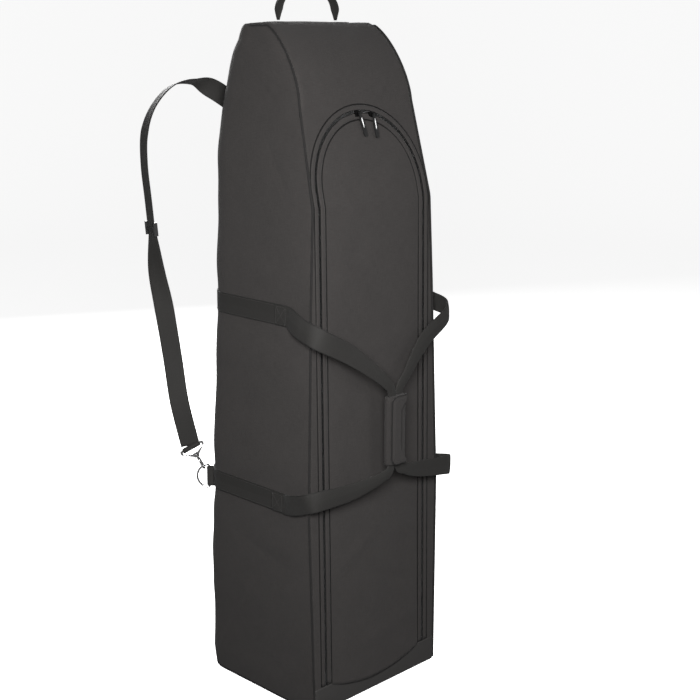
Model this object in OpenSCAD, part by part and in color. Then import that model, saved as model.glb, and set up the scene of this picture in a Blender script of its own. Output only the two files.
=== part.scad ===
// Soft golf travel case: a tall padded fabric shell that stands on its base, with a zipped front
// door, webbing handles joined by a grip wrap, a top carry handle and a clip-on shoulder strap.
// Millimetres. Front is -Y, up is +Z, and the origin is the centre of the base on the ground.

/* [Case body] */
// Height of the fabric body, without the top handle
case_h = 1290; // [1060:10:1560]
// Width of the base
base_w = 340; // [280:5:410]
// Width at the fullest level
belly_w = 354; // [290:5:426]
// Width at chest level, under the shoulder
chest_w = 326; // [296:2:388]
// Width where the door's arch begins
shoulder_w = 308; // [288:2:356]
// Width of the top
top_w = 276; // [250:2:332]
// Depth of the base, front to back
base_depth = 330; // [290:5:396]
// How far the back leans in between the base and mid height
back_lean = 20; // [0:1:30]
// Radius of the two rear corners
rear_corner_r = 60; // [30:1:72]
// Thickness of the padded walls
wall = 4; // [2.5:0.5:5]

/* [Hood] */
// Height of the curved hood at the top
hood_h = 140; // [115:5:168]
// How far the hood's front curves back
hood_reach = 102; // [80:2:110]
// Height of the leaning chest under the hood
lean_h = 180; // [170:5:264]
// How far the leaning chest goes back
lean_reach = 43; // [40:2:74]
// How far the front leans back below the chest
front_lean = 19; // [0:1:30]
// Thickness of the foam that protects the club heads
foam_t = 9; // [4:1:12]

/* [Front door] */
// Half width of the zipped door, and radius of its arch
door_r = 139; // [100:1:141]
// Height of the crease at which the upper door folds, below the top
fold_drop = 460; // [420:5:480]
// Lowest point of the door, which is the height of the front boot
boot_h = 50; // [30:1:54]
// Distance from the zip's centre line to the edge of the fabric
zip_gap = 5; // [4:0.5:6]
// Width of one row of zip coil
coil_w = 2.4; // [1.6:0.1:3]

/* [Webbing] */
// Width of the handle and shoulder webbing
web_w = 40; // [32:1:46]
// Thickness of the webbing
web_t = 2.2; // [1.6:0.1:2.6]
// Height of the lower band's centre
lower_band_z = 412; // [340:2:440]
// Distance of the upper band's centre below the top
upper_band_drop = 520; // [510:5:560]
// Where the bands' front ends are stitched, from the case's middle
band_end_y = 90; // [75:1:108]

/* [Grip wrap] */
// Height of the wrap
wrap_h = 135; // [110:1:162]
// Width of the wrap
wrap_w = 52; // [46:1:62]
// Thickness of the wrap
wrap_t = 20; // [17:1:24]
// Sideways place of the wrap
wrap_x = 15; // [-20:1:20]

/* [Top handle] */
// Distance between the handle's two feet
handle_span = 150; // [120:1:180]
// Height of the handle's loop
handle_rise = 56; // [46:1:67]
// Width of the grip
grip_w = 24; // [20:1:28]

/* [Metal fittings] */
// Radius of the wire in the rings and hooks
wire_r = 2; // [1.6:0.1:2.4]
// Extra room inside a ring, beyond the webbing
ring_play = 4; // [3:0.5:6]

/* [Hidden] */
FABRIC = "#3b3838";
DARK_FABRIC = "#2b2a2a";
COATED = "#4d4c4b";
WEBBING = "#2f2f2d";
PLASTIC = "#161616";
METAL = "#c9cacc";

seam = 0.3;          // clearance between neighbouring panels
belly_z = 400;       // height of the fullest level
chest_z = 800;       // height of the chest level
lean_stop_z = 600;   // height at which the back stops leaning
back_round_h = 250;  // height of the rounded top of the back
back_round = 87;     // how far the top of the back comes forward
hood_power = 1.5;    // squareness of the hood's curve
ring_steps = 8;      // pieces in a rear corner
arch_steps = 20;     // pieces in a quarter of the door's arch

hood_z = case_h - hood_h;
lean_z = hood_z - lean_h;
front_0 = -base_depth / 2;
fold_z = case_h - fold_drop;
arch_top_z = hood_z - 17;
spring_z = arch_top_z - door_r;
upper_band_z = case_h - upper_band_drop;
wrap_z = (lower_band_z + upper_band_z) / 2 - 51;
lean_angle = atan(lean_reach / lean_h);

// ---- the body's shape: half width, front and back at a height, and the rear corners ----
function half_w(z) = lookup(z, [[0, base_w / 2], [belly_z, belly_w / 2],
    [chest_at, chest_w / 2], [spring_z, shoulder_w / 2], [case_h, top_w / 2]]);
function hood_curve(t) = 1 - pow(1 - pow(t, hood_power), 1 / hood_power);
function front_y(z) = z < lean_z ? front_0 + front_lean * z / lean_z
    : z < hood_z ? front_0 + front_lean + (z - lean_z) * lean_reach / lean_h
    : front_0 + front_lean + lean_reach + hood_reach * hood_curve(min(1, (z - hood_z) / hood_h));
function round_share(z) = max(0, (z - case_h + back_round_h) / back_round_h);
function back_y(z) = base_depth / 2 - back_lean * min(1, z / lean_stop_z)
    - back_round * (1 - sqrt(1 - pow(round_share(z), 2)));
function corner_r(z) = min(rear_corner_r, 0.42 * (back_y(z) - front_y(z)));

// Inward direction of the front surface at a height, in the YZ plane.
function front_in(z) = let (a = max(0, z - 0.5), b = min(case_h, z + 0.5),
    dy = front_y(b) - front_y(a), n = norm([dy, b - a])) [(b - a) / n, -dy / n];

function steps(a, b, n) = [for (i = [0:n]) a + (b - a) * i / n];
function after(a, b, n) = [for (i = [1:n]) a + (b - a) * i / n];
// Levels from a to b that crowd together towards b, where the surface turns over.
function crowded(a, b, n) = [for (i = [0:n]) a + (b - a) * sin(90 * i / n)];

// Levels that neighbouring panels share, with one at every bend of the sides and the front.
chest_at = min(chest_z, spring_z - 120);
function bend_levels(z0) = concat([z0], after(z0, belly_z, 4), after(belly_z, chest_at, 4),
    after(chest_at, lean_z, 2), after(lean_z, spring_z, 1));
shell_levels = concat(bend_levels(wall), after(spring_z, hood_z, 4), crowded(hood_z + 14, case_h, 9));

// A closed slab between two grids of points, the first on its outside.
module slab(outer, inner) {
    rows = len(outer);
    cols = len(outer[0]);
    count = rows * cols;
    points = concat([for (r = outer) each r], [for (r = inner) each r]);
    last_c = cols - 1;
    last_r = rows - 1;
    quads = concat(
        [for (i = [0:last_r - 1], j = [0:last_c - 1])
            let (a = i * cols + j) each [[a, a + 1, a + cols + 1], [a, a + cols + 1, a + cols]]],
        [for (i = [0:last_r - 1], j = [0:last_c - 1])
            let (a = count + i * cols + j)
            each [[a, a + cols + 1, a + 1], [a, a + cols, a + cols + 1]]],
        [for (j = [0:last_c - 1]) let (b = count + j) each [[j, b, b + 1], [j, b + 1, j + 1]]],
        [for (j = [0:last_c - 1]) let (a = last_r * cols + j, b = count + a)
            each [[a, b + 1, b], [a, a + 1, b + 1]]],
        [for (i = [0:last_r - 1]) let (a = i * cols, b = count + a)
            each [[a, b + cols, b], [a, a + cols, b + cols]]],
        [for (i = [0:last_r - 1]) let (a = i * cols + last_c, b = count + a)
            each [[a, b, b + cols], [a, b + cols, a + cols]]]);
    polyhedron(points = points, faces = quads, convexity = 4);
}

// Left half of the body's outline at a height, moved out by o: side wall, rear corner, back.
function left_outline(z, o, y0) = let (w = half_w(z), b = back_y(z), r = corner_r(z))
    concat([[-w - o, y0, z], [-w - o, (y0 + b - r) / 2, z]],
        [for (i = [0:ring_steps]) let (a = 180 - 90 * i / ring_steps)
            [-w + r + (r + o) * cos(a), b - r + (r + o) * sin(a), z]]);
function flip(p) = [-p[0], p[1], p[2]];
function turned(v) = [for (i = [len(v) - 1:-1:0]) v[i]];
function whole_outline(z, o, y0) =
    let (half = left_outline(z, o, y0)) concat(half, turned([for (p = half) flip(p)]));

module mirrored() {
    mirror([1, 0, 0]) children();
}

module side_panel() {
    slab([for (z = shell_levels) left_outline(z, 0, front_y(z))],
        [for (z = shell_levels) left_outline(z, -wall, front_y(z))]);
}

// A piece of the front surface. edges(z) gives its two sides; depth is measured inwards.
function front_row(z, x0, x1, depth, cols) = let (n = front_in(z))
    [for (x = steps(x1, x0, cols)) [x, front_y(z) + depth * n[0], z + depth * n[1]]];
module front_slab(levels, x0, x1, depth_out, depth_in, cols = 1) {
    slab([for (i = [0:len(levels) - 1]) front_row(levels[i], x0[i], x1[i], depth_out, cols)],
        [for (i = [0:len(levels) - 1]) front_row(levels[i], x0[i], x1[i], depth_in, cols)]);
}

// Half width of an arch of radius r that shares the door's centre.
function arch_half(z, r) = z < spring_z ? r : sqrt(max(0, r * r - pow(z - spring_z, 2)));
function arch_levels(z0, r) = concat(steps(z0, spring_z, 6),
    [for (i = [1:arch_steps]) spring_z + r * sin(90 * i / arch_steps)]);

module base_panel() color(COATED)
    linear_extrude(wall) polygon([for (p = whole_outline(0, 0, front_0)) [p[0], p[1]]]);

module base_boot() color(COATED) {
    levels = [wall + seam, boot_h - seam];
    edge = [for (z = levels) half_w(z) - wall - seam];
    front_slab(levels, -edge, edge, 0, wall);
}

module base_board() color(DARK_FABRIC)
    translate([0, 0, wall]) linear_extrude(wall)
        polygon([for (p = whole_outline(wall, -wall - 2, front_0 + wall + 2)) [p[0], p[1]]]);

module left_side_panel() color(FABRIC) side_panel();
module right_side_panel() color(FABRIC) mirrored() side_panel();

module back_panel() color(DARK_FABRIC) {
    row = function(z, o) let (b = back_y(z) + o, edge = half_w(z) - corner_r(z) - seam)
        [[-edge, b, z], [edge, b, z]];
    slab([for (z = shell_levels) row(z, 0)], [for (z = shell_levels) row(z, -wall)]);
}

module top_cap() color(FABRIC) {
    low = case_h - wall;
    gap = wall + seam;
    outline = whole_outline(case_h, -gap, front_y(case_h) + wall * front_in(case_h)[0] + seam);
    translate([0, 0, low]) linear_extrude(wall) polygon([for (p = outline) [p[0], p[1]]]);
}

// The front above the door's arch: first the two corners beside the arch, then the hood.
module hood_panel() color(FABRIC) {
    levels = concat(steps(arch_top_z + zip_gap, hood_z, 2), crowded(hood_z + 12, case_h, 12));
    edge = [for (z = levels) half_w(z) - wall - seam];
    front_slab(levels, -edge, edge, 0, wall, 4);
}

module hood_foam() color(DARK_FABRIC) {
    levels = concat([arch_top_z + zip_gap + 6, hood_z], crowded(hood_z + 12, case_h - 16, 8));
    edge = [for (z = levels) half_w(z) - wall - 3];
    front_slab(levels, -edge, edge, wall + seam, wall + seam + foam_t, 2);
}

module side_border() {
    r = door_r + zip_gap;
    levels = concat(bend_levels(boot_h),
        [for (i = [1:arch_steps]) spring_z + r * sin(90 * i / arch_steps) - (i == arch_steps ? seam : 0)]);
    front_slab(levels, [for (z = levels) -(half_w(z) - wall - seam)],
        [for (z = levels) -arch_half(z, r)], 0, wall);
}

module left_border() color(FABRIC) side_border();
module right_border() color(FABRIC) mirrored() side_border();

// A round cord along the front seam, just outside the corner.
module piping() {
    r = 2;
    out = 1.8;
    levels = [for (z = shell_levels) min(z, case_h - 1)];
    ring = 8;
    centre = function(z) let (n = front_in(z)) [-half_w(z) - out, front_y(z) - out * n[0], z - out * n[1]];
    rings = [for (z = levels) let (c = centre(z), n = front_in(z))
        [for (k = [0:ring - 1]) let (a = 360 * k / ring) c + r * [cos(a), sin(a) * n[0], sin(a) * n[1]]]];
    tube(rings);
}

// A closed tube through rings of points.
module tube(rings) {
    n = len(rings[0]);
    last = len(rings) - 1;
    points = [for (r = rings) each r];
    sides = [for (i = [0:last - 1], k = [0:n - 1]) let (m = (k + 1) % n, a = i * n)
        each [[a + k, a + n + m, a + m], [a + k, a + n + k, a + n + m]]];
    start = [[for (k = [0:n - 1]) k]];
    end = [[for (k = [n - 1:-1:0]) last * n + k]];
    polyhedron(points = points, faces = concat(sides, start, end), convexity = 6);
}

module left_piping() color(DARK_FABRIC) piping();
module right_piping() color(DARK_FABRIC) mirrored() piping();

// ---- the door and its zip ----
module door_lower() color(FABRIC) {
    r = door_r - zip_gap;
    levels = steps(boot_h + 1, fold_z - seam, 8);
    front_slab(levels, [for (z = levels) -r], [for (z = levels) r], 0, wall);
}

module door_upper() color(FABRIC) {
    r = door_r - zip_gap;
    levels = concat([fold_z + seam, lean_z], [for (i = [0:arch_steps]) spring_z + r * sin(89.5 * i / arch_steps)]);
    front_slab(levels, [for (z = levels) -arch_half(z, r)], [for (z = levels) arch_half(z, r)], 0, wall, 2);
}

// Point on the front surface beside the zip's centre line: angle runs over the arch from the
// left spring (0) to the right spring (180), and e is the distance outwards from the line.
function on_front(x, z, depth) = let (n = front_in(z)) [x, front_y(z) + depth * n[0], z + depth * n[1]];
function arch_points(e, depth) = [for (i = [0:2 * arch_steps]) let (a = 180 - 90 * i / arch_steps)
    on_front((door_r + e) * cos(a), spring_z + (door_r + e) * sin(a), depth)];
function leg_points(side, e, depth, z0, z1) = [for (z = z1 > lean_z ? [z0, lean_z, z1] : [z0, z1])
    on_front(side * (door_r + e), z, depth)];
function zip_line(e, depth, z0) = concat(leg_points(-1, e, depth, z0, spring_z - 1),
    arch_points(e, depth), turned(leg_points(1, e, depth, z0, spring_z - 1)));
// A strip along the zip between distances e0 and e1, at depths d0 (outside) to d1.
module zip_strip(e0, e1, d0, d1, z0) {
    a = zip_line(e0, d0, z0);
    b = zip_line(e1, d0, z0);
    c = zip_line(e0, d1, z0);
    d = zip_line(e1, d1, z0);
    last = len(a) - 1;
    slab([for (i = [0:last]) [a[i], b[i]]], [for (i = [0:last]) [c[i], d[i]]]);
}

coil_gap = 0.2;      // half the space between the two rows of coil
coil_out = 0.5;      // how far the coil stands proud of the fabric
coil_in = 2;         // how deep the coil goes
tape_in = 3.4;       // depth of the tape's back face
stop_t = 2;          // thickness of a stop

module zip_frame_tape() color(DARK_FABRIC)
    zip_strip(coil_gap, zip_gap - seam, coil_in + 0.2, tape_in, boot_h);
module zip_frame_coil() color(PLASTIC)
    zip_strip(coil_gap, coil_gap + coil_w, -coil_out, coil_in, boot_h);
module zip_upper_coil() color(PLASTIC)
    zip_strip(-coil_gap - coil_w, -coil_gap, -coil_out, coil_in, fold_z + seam);
// A straight piece of one leg of the zip, between two heights.
module leg_piece(side, half, depth_out, depth_in, z0, z1) {
    middle = side * (door_r - coil_gap - coil_w / 2);
    front_slab([z0, z1], [middle - half, middle - half], [middle + half, middle + half], depth_out, depth_in);
}
module zip_lower_coil() color(PLASTIC)
    for (side = [-1, 1]) leg_piece(side, coil_w / 2, -coil_out, coil_in, boot_h, fold_z - seam);
module zip_bottom_stops() color(PLASTIC)
    for (side = [-1, 1])
        leg_piece(side, coil_w, -coil_out - stop_t - 0.05, -coil_out - 0.05, boot_h + 2, boot_h + 8);

// The leaning chest's own frame: x across, y up the chest, z straight out of it.
module on_chest() {
    translate([0, front_y(spring_z), spring_z]) rotate([90 - lean_angle, 0, 0]) children();
}
// A place on the door's arch, turned clockwise from its top by an angle.
module on_arch(turn) {
    on_chest() rotate([0, 0, -turn]) translate([0, door_r, 0]) children();
}

left_turn = -2;      // where the left slider rests on the arch, degrees clockwise from the top
right_turn = 13;      // where the right slider rests
slider_l = 16;       // length of a slider
slider_w = 11;       // width of a slider
slider_low = 0.9;    // height of a slider's underside over the fabric
slider_top = 3.8;    // height of its top face
bail_z = 7.2;        // height of the bail's bar
bail_r = 1;          // radius of the bail's bar
bail_half = 4.2;     // half length of the bail
pull_l = 44;         // length of a pull
pull_w = 8;          // width of a pull
pull_t = 2.6;        // thickness of a pull
eye_r = 2.6;         // outer radius of a pull's eye

module zip_slider() {
    translate([0, 0, slider_low]) linear_extrude(slider_top - slider_low) polygon([
        [-slider_l / 2, -slider_w * 0.32], [0, -slider_w / 2], [slider_l / 2, -slider_w / 2],
        [slider_l / 2, slider_w / 2], [0, slider_w / 2], [-slider_l / 2, slider_w * 0.32]]);
    for (side = [-1, 1])
        translate([side * bail_half, 0, slider_top]) cylinder(h = bail_z - slider_top + bail_r, r = bail_r, $fn = 24);
    translate([-bail_half, 0, bail_z]) rotate([0, 90, 0]) cylinder(h = 2 * bail_half, r = bail_r, $fn = 24);
}
// Hangs from the bail, down the chest, and turns about the bail's bar.
module zip_pull(turn) {
    eye_w = 2 * (bail_half - bail_r - 0.8);
    translate([0, 0, bail_z]) difference() {
        union() {
            rotate([0, 90, 0]) cylinder(h = eye_w, r = eye_r, center = true, $fn = 32);
            rotate([0, 0, turn]) translate([-eye_w / 2, -10, -pull_t / 2]) cube([eye_w, 10, pull_t]);
            rotate([0, 0, turn]) translate([0, -9, -pull_t / 2]) linear_extrude(pull_t) hull() {
                translate([-pull_w / 2, -2]) square([pull_w, 2]);
                translate([0, -pull_l + 9 + pull_w / 2]) circle(d = pull_w, $fn = 32);
            }
        }
        rotate([0, 90, 0]) cylinder(h = eye_w + 2, r = bail_r + 0.35, center = true, $fn = 32);
    }
}
module left_zip_slider() color(PLASTIC) on_arch(left_turn) mirrored() zip_slider();
module right_zip_slider() color(PLASTIC) on_arch(right_turn) zip_slider();
module left_zip_pull() color(PLASTIC) on_arch(left_turn) zip_pull(8);
module right_zip_pull() color(PLASTIC) on_arch(right_turn) zip_pull(14);

// ---- webbing ----
// Smooth curve through points, by cubic segments whose slopes come from the neighbours.
function pick(v, i) = v[max(0, min(len(v) - 1, i))];
function curve_at(v, i, t) = let (a = pick(v, i - 1), b = v[i], c = pick(v, i + 1), d = pick(v, i + 2))
    0.5 * (2 * b + (c - a) * t + (2 * a - 5 * b + 4 * c - d) * t * t + (3 * b - a - 3 * c + d) * t * t * t);
function curve(v, n) = concat([for (i = [0:len(v) - 2], k = [0:n - 1]) curve_at(v, i, k / n)],
    [v[len(v) - 1]]);
function mixed(v, n) = concat([for (i = [0:len(v) - 2], k = [0:n - 1])
    v[i] + (v[i + 1] - v[i]) * k / n], [v[len(v) - 1]]);
function unit(v) = v / norm(v);

// A flat ribbon along points, whose face turns with the given normals; lift moves it along them.
module ribbon(points, normals, widths, thick, lift = 0) {
    last = len(points) - 1;
    along = [for (i = [0:last]) unit(points[min(last, i + 1)] - points[max(0, i - 1)])];
    across = [for (i = [0:last]) unit(cross(normals[i], along[i]))];
    face = [for (i = [0:last]) cross(along[i], across[i])];
    row = function(i, h) [for (s = [-0.5, 0.5]) points[i] + s * widths[i] * across[i] + h * face[i]];
    slab([for (i = [0:last]) row(i, lift + thick / 2)], [for (i = [0:last]) row(i, lift - thick / 2)]);
}

module band(zc) {
    levels = steps(zc - web_w / 2, zc + web_w / 2, 2);
    slab([for (z = levels) whole_outline(z, seam + web_t, -band_end_y)],
        [for (z = levels) whole_outline(z, seam, -band_end_y)]);
}
module upper_band() color(WEBBING) band(upper_band_z);
module lower_band() color(WEBBING) band(lower_band_z);

stitch_l = 30;       // length of a handle's end that is stitched onto its band
fold_w = 20;         // width of the webbing where it is folded into the wrap
wrap_back = 20;      // space between the case's front and the wrap
wrap_y = front_0 - wrap_back - wrap_t / 2;
wrap_wall = 4;       // thickness of the wrap's padded walls
web_side = 11;       // sideways place of each handle's webbing in the wrap

// One handle: stitched to the upper band, round the front corner to the wrap, through it and
// back to the lower band. side is -1 on the left. bulge is how far it stands out at the corner.
function handle_points(side, bulge) =
    let (lay = seam + web_t + seam + web_t / 2, x_in = wrap_x + side * web_side, y_in = wrap_y + 1.6 * side,
        zu = upper_band_z, zl = lower_band_z, wu = half_w(zu), wl = half_w(zl),
        top = wrap_z + wrap_h / 2, low = wrap_z - wrap_h / 2, rise = side < 0 ? 20 : 6)
    [[side * (wu + lay), -band_end_y + stitch_l, zu], [side * (wu + lay), -band_end_y, zu],
        [side * (wu + lay + 1), -band_end_y - 8, zu - 1],
        [side * (wu + lay + 4 + bulge * 0.7), front_0 + 30, zu - 14],
        [side * (wu - 4 + bulge), front_0 - 12, zu - 30],
        [side * (wu - 66) + wrap_x / 2, front_0 - 22, zu - 72], [x_in + side * 22, y_in, top + 34],
        [x_in, y_in, top + 3], [x_in, y_in, wrap_z], [x_in, y_in, low - 3],
        [x_in + side * 24, y_in, low - 20], [side * (wl - 80) + wrap_x / 2, front_0 - 22, low - 34],
        [side * (wl - 4 + bulge), front_0 - 14, (low - 34 + zl) / 2 - 8 + rise],
        [side * (wl + lay + 4 + bulge * 0.7), front_0 + 30, zl + rise / 2],
        [side * (wl + lay + 1), -band_end_y - 8, zl],
        [side * (wl + lay), -band_end_y, zl], [side * (wl + lay), -band_end_y + stitch_l, zl]];
function handle_normals(side) = [[side, 0, 0], [side, 0, 0], [side, 0, 0], [side, -0.5, 0], [side * 0.6, -1, 0],
    [0, -1, 0], [0, -1, 0], [0, -1, 0], [0, -1, 0], [0, -1, 0], [0, -1, 0], [0, -1, 0],
    [side * 0.6, -1, 0], [side, -0.5, 0], [side, 0, 0], [side, 0, 0], [side, 0, 0]];
function handle_widths() = [web_w, web_w, web_w, web_w, web_w, web_w - 4, fold_w + 2, fold_w, fold_w,
    fold_w, fold_w + 2, web_w - 6, web_w, web_w, web_w, web_w, web_w];
module handle_webbing(side, bulge) {
    n = 4;
    ribbon(curve(handle_points(side, bulge), n), mixed(handle_normals(side), n),
        mixed(handle_widths(), n), web_t);
}
module left_handle_webbing() color(WEBBING) handle_webbing(-1, 7);
module right_handle_webbing() color(WEBBING) handle_webbing(1, 26);

// A padded channel, open at the front, that the two webbings lie in.
module grip_wrap() color(DARK_FABRIC)
    translate([wrap_x, wrap_y, wrap_z - wrap_h / 2]) difference() {
        linear_extrude(wrap_h) hull() {
            for (side = [-1, 1]) translate([side * (wrap_w / 2 - 5), wrap_t / 2 - 5]) circle(r = 5, $fn = 32);
            for (side = [-1, 1]) translate([side * (wrap_w / 2 - 2), -wrap_t / 2 + 5]) circle(r = 2, $fn = 32);
        }
        translate([-wrap_w / 2 + wrap_wall, -wrap_t / 2 - 1, -1])
            cube([wrap_w - 2 * wrap_wall, wrap_t - wrap_wall - 1, wrap_h + 2]);
    }
// The flap that closes the wrap; it turns about the wrap's right edge.
flap_t = 2.6;
module grip_flap() color(FABRIC)
    translate([wrap_x, wrap_y - wrap_t / 2 + 3 - 0.4, wrap_z]) rotate([90, 0, 0]) linear_extrude(flap_t) hull() {
        translate([wrap_w / 2 - 2, -wrap_h / 2 + 2]) square([2, wrap_h - 4]);
        for (end = [-1, 1])
            translate([-wrap_w / 2 + 16, end * (wrap_h / 2 - 12)]) circle(r = 10, $fn = 48);
    }

// ---- the top handle ----
handle_y = front_y(case_h) + 29;
patch_t = 2;
roll_r = 4;
pivot_z = case_h + patch_t + roll_r + 0.5;
module top_handle_patches() color(WEBBING)
    for (side = [-1, 1])
        translate([side * (handle_span / 2 + 8), handle_y, case_h]) linear_extrude(patch_t) hull()
            for (x = [-14, 14], y = [-9, 9]) translate([x, y]) circle(r = 2, $fn = 24);
function handle_arc() = [for (i = [0:24]) let (a = 180 - 180 * i / 24)
    [handle_span / 2 * sign(cos(a)) * pow(abs(cos(a)), 0.8), handle_y, pivot_z + handle_rise * pow(sin(a), 0.62)]];
module top_handle_webbing() color(WEBBING) {
    arc = handle_arc();
    last = len(arc) - 1;
    widths = [for (p = arc) 1.5 * roll_r + min(1, (p[2] - pivot_z) / 20) * (grip_w - 2 * roll_r)];
    normals = [for (p = arc) [p[0], 0, p[2] - pivot_z + 30]];
    ribbon(arc, normals, widths, web_t);
    for (side = [-1, 1])
        translate([side * handle_span / 2, handle_y, pivot_z]) rotate([0, 90, 0])
            cylinder(h = 14, r = roll_r, center = true, $fn = 32);
}
// A tube of fabric sewn round the middle of the handle.
module top_handle_grip() color(DARK_FABRIC) {
    arc = [for (p = handle_arc()) if (abs(p[0]) < handle_span * 0.36) p];
    ribbon(arc, [for (p = arc) [p[0], 0, p[2] - pivot_z + 30]], [for (p = arc) grip_w - 4], 3.5, web_t / 2 + 1.9);
    ribbon(arc, [for (p = arc) [p[0], 0, p[2] - pivot_z + 30]], [for (p = arc) grip_w - 4], 3.5, -web_t / 2 - 1.9);
}

// ---- rings, hooks and the shoulder strap ----
ring_off = 9;                           // from the wall to a ring's bar
tab_sunk = 1;                           // how far a ring's tab is sewn into what holds it
ring_half = web_w / 2 + ring_play / 2;  // half the room in a ring
ring_r = ring_half + wire_r;            // radius of the middle of its wire
hook_r = wire_r + 4.4;                  // radius of the middle of the hook's wire
hook_l = 12;                            // straight length of the hook
hook_gap = 0.8;                         // between the ring's wire and the hook's
pin_l = 9.6;                            // length of the swivel pin above the hook
eye_h = 5;                              // height of the buckle's eye
buckle_l = 16;                          // from the eye to the buckle's bar
corner_turn = 135;                      // direction of the lower ring, from the rear left corner
lower_ring_z = lower_band_z - 4;
upper_ring_z = case_h - 205;
upper_ring_x = 35;
upper_turn = 170;                       // direction of the upper ring
lower_lift = 60;                        // how steeply the strap leaves the lower ring
upper_lift = 25;                        // how steeply it leaves the upper ring

// The point on the rear left corner at a height, o outside the wall.
function corner_point(z, o) = let (r = corner_r(z))
    [-half_w(z) + r + (r + o) * cos(corner_turn), back_y(z) - r + (r + o) * sin(corner_turn), z];
lower_ring_at = corner_point(lower_ring_z, seam + web_t + ring_off);
upper_ring_at = [upper_ring_x, back_y(upper_ring_z) + ring_off, upper_ring_z];
// Direction of each hook, away from its ring.
function heading(turn, lift) = [cos(lift) * cos(turn), cos(lift) * sin(turn), sin(lift)];
hook_reach = ring_r - 2 * wire_r - hook_gap + hook_l + 2 * hook_r;  // to the loop's far end
bar_reach = hook_reach + pin_l + buckle_l;
function bar_at(at, turn, lift) = at + bar_reach * heading(turn, lift);

module at_ring(at, turn) {
    translate(at) rotate([0, 0, turn]) children();
}
module d_ring() {
    rotate([90, 0, 0]) rotate([0, 0, -90]) rotate_extrude(angle = 180, $fn = 96)
        translate([ring_r, 0]) circle(r = wire_r, $fn = 24);
    translate([0, 0, -ring_r]) cylinder(h = 2 * ring_r, r = wire_r, $fn = 24);
}
// A folded webbing tab that holds the ring's bar. deep is the length of its flat part.
module ring_tab(deep) {
    r_in = wire_r + 0.35;
    r_out = r_in + web_t;
    translate([0, 0, -web_w / 2]) difference() {
        union() {
            cylinder(h = web_w, r = r_out, $fn = 48);
            translate([-deep, -r_out, 0]) cube([deep, 2 * r_out, web_w]);
        }
        translate([0, 0, -1]) cylinder(h = web_w + 2, r = r_in, $fn = 48);
    }
}
module lower_ring_tab() color(WEBBING) at_ring(lower_ring_at, corner_turn) ring_tab(ring_off + tab_sunk);
module upper_ring_tab() color(WEBBING)
    translate(upper_ring_at) rotate([0, 0, 90]) ring_tab(ring_off + 2.5 * tab_sunk);
module lower_d_ring() color(METAL) at_ring(lower_ring_at, corner_turn) d_ring();
module upper_d_ring() color(METAL) at_ring(upper_ring_at, upper_turn) d_ring();

// A hook's own frame: z runs from the ring towards the strap, and the loop lies in the YZ plane.
module at_hook(at, turn, lift) {
    at_ring(at, turn) rotate([0, 90 - lift, 0]) translate([0, 0, hook_reach]) children();
}
module half_loop(up) {
    rotate([90, 0, 90]) rotate([0, 0, up ? 0 : 180]) rotate_extrude(angle = 180, $fn = 64)
        translate([hook_r, 0]) circle(r = wire_r, $fn = 24);
}
module hook() {
    top = -hook_r;
    low = top - hook_l;
    translate([0, 0, top]) half_loop(true);
    translate([0, 0, low]) half_loop(false);
    translate([0, -hook_r, low]) cylinder(h = hook_l, r = wire_r, $fn = 24);
    translate([0, 0, -0.5]) cylinder(h = pin_l + 0.5, r = 2.2, $fn = 32);
    translate([0, 0, pin_l - 1.6]) cylinder(h = 3, r = 3.8, $fn = 32);
}
gate_gap = 1;                           // at each end of a hook's gate
module hook_gate()
    translate([0, hook_r, -hook_r - hook_l + gate_gap]) {
        cylinder(h = hook_l - 2 * gate_gap, r = wire_r - 0.5, $fn = 24);
        translate([0, 0, hook_l * 0.45]) rotate([-90, 0, 0]) cylinder(h = 5, r = 1.2, $fn = 24);
    }
module lower_hook() color(METAL) at_hook(lower_ring_at, corner_turn, lower_lift) hook();
module upper_hook() color(METAL) at_hook(upper_ring_at, upper_turn, upper_lift) hook();
module lower_hook_gate() color(METAL) at_hook(lower_ring_at, corner_turn, lower_lift) hook_gate();
module upper_hook_gate() color(METAL) at_hook(upper_ring_at, upper_turn, upper_lift) hook_gate();

// A flat triangular loop: its eye turns on the hook's pin and its bar holds the webbing.
module buckle() {
    half = ring_half + wire_r;
    eye_z = pin_l - 2 - eye_h;
    bar_z = pin_l + buckle_l;
    difference() {
        union() {
            rotate([90, 0, 0]) linear_extrude(2 * wire_r, center = true) difference() {
                hull() {
                    for (side = [-1, 1], z = [bar_z - 5, bar_z])
                        translate([side * half, z]) circle(r = wire_r, $fn = 24);
                    for (side = [-1, 1]) translate([side * 3, eye_z + eye_h - 2]) circle(r = wire_r, $fn = 24);
                }
                hull() {
                    for (side = [-1, 1], z = [bar_z - 7, bar_z - wire_r - 1])
                        translate([side * (half - wire_r - 1), z]) circle(r = 1, $fn = 24);
                    for (side = [-1, 1])
                        translate([side * 5, pin_l + 2.6]) circle(r = 1, $fn = 24);
                }
            }
            translate([0, 0, eye_z]) cylinder(h = eye_h, r = 5.2, $fn = 48);
        }
        translate([0, 0, -1]) cylinder(h = pin_l + 2, r = 2.5, $fn = 32);
        translate([0, 0, pin_l - 2]) cylinder(h = 4, r = 4.4, $fn = 32);
    }
}
module lower_strap_buckle() color(METAL) at_hook(lower_ring_at, corner_turn, lower_lift) buckle();
module upper_strap_buckle() color(METAL) at_hook(upper_ring_at, upper_turn, upper_lift) buckle();

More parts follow.
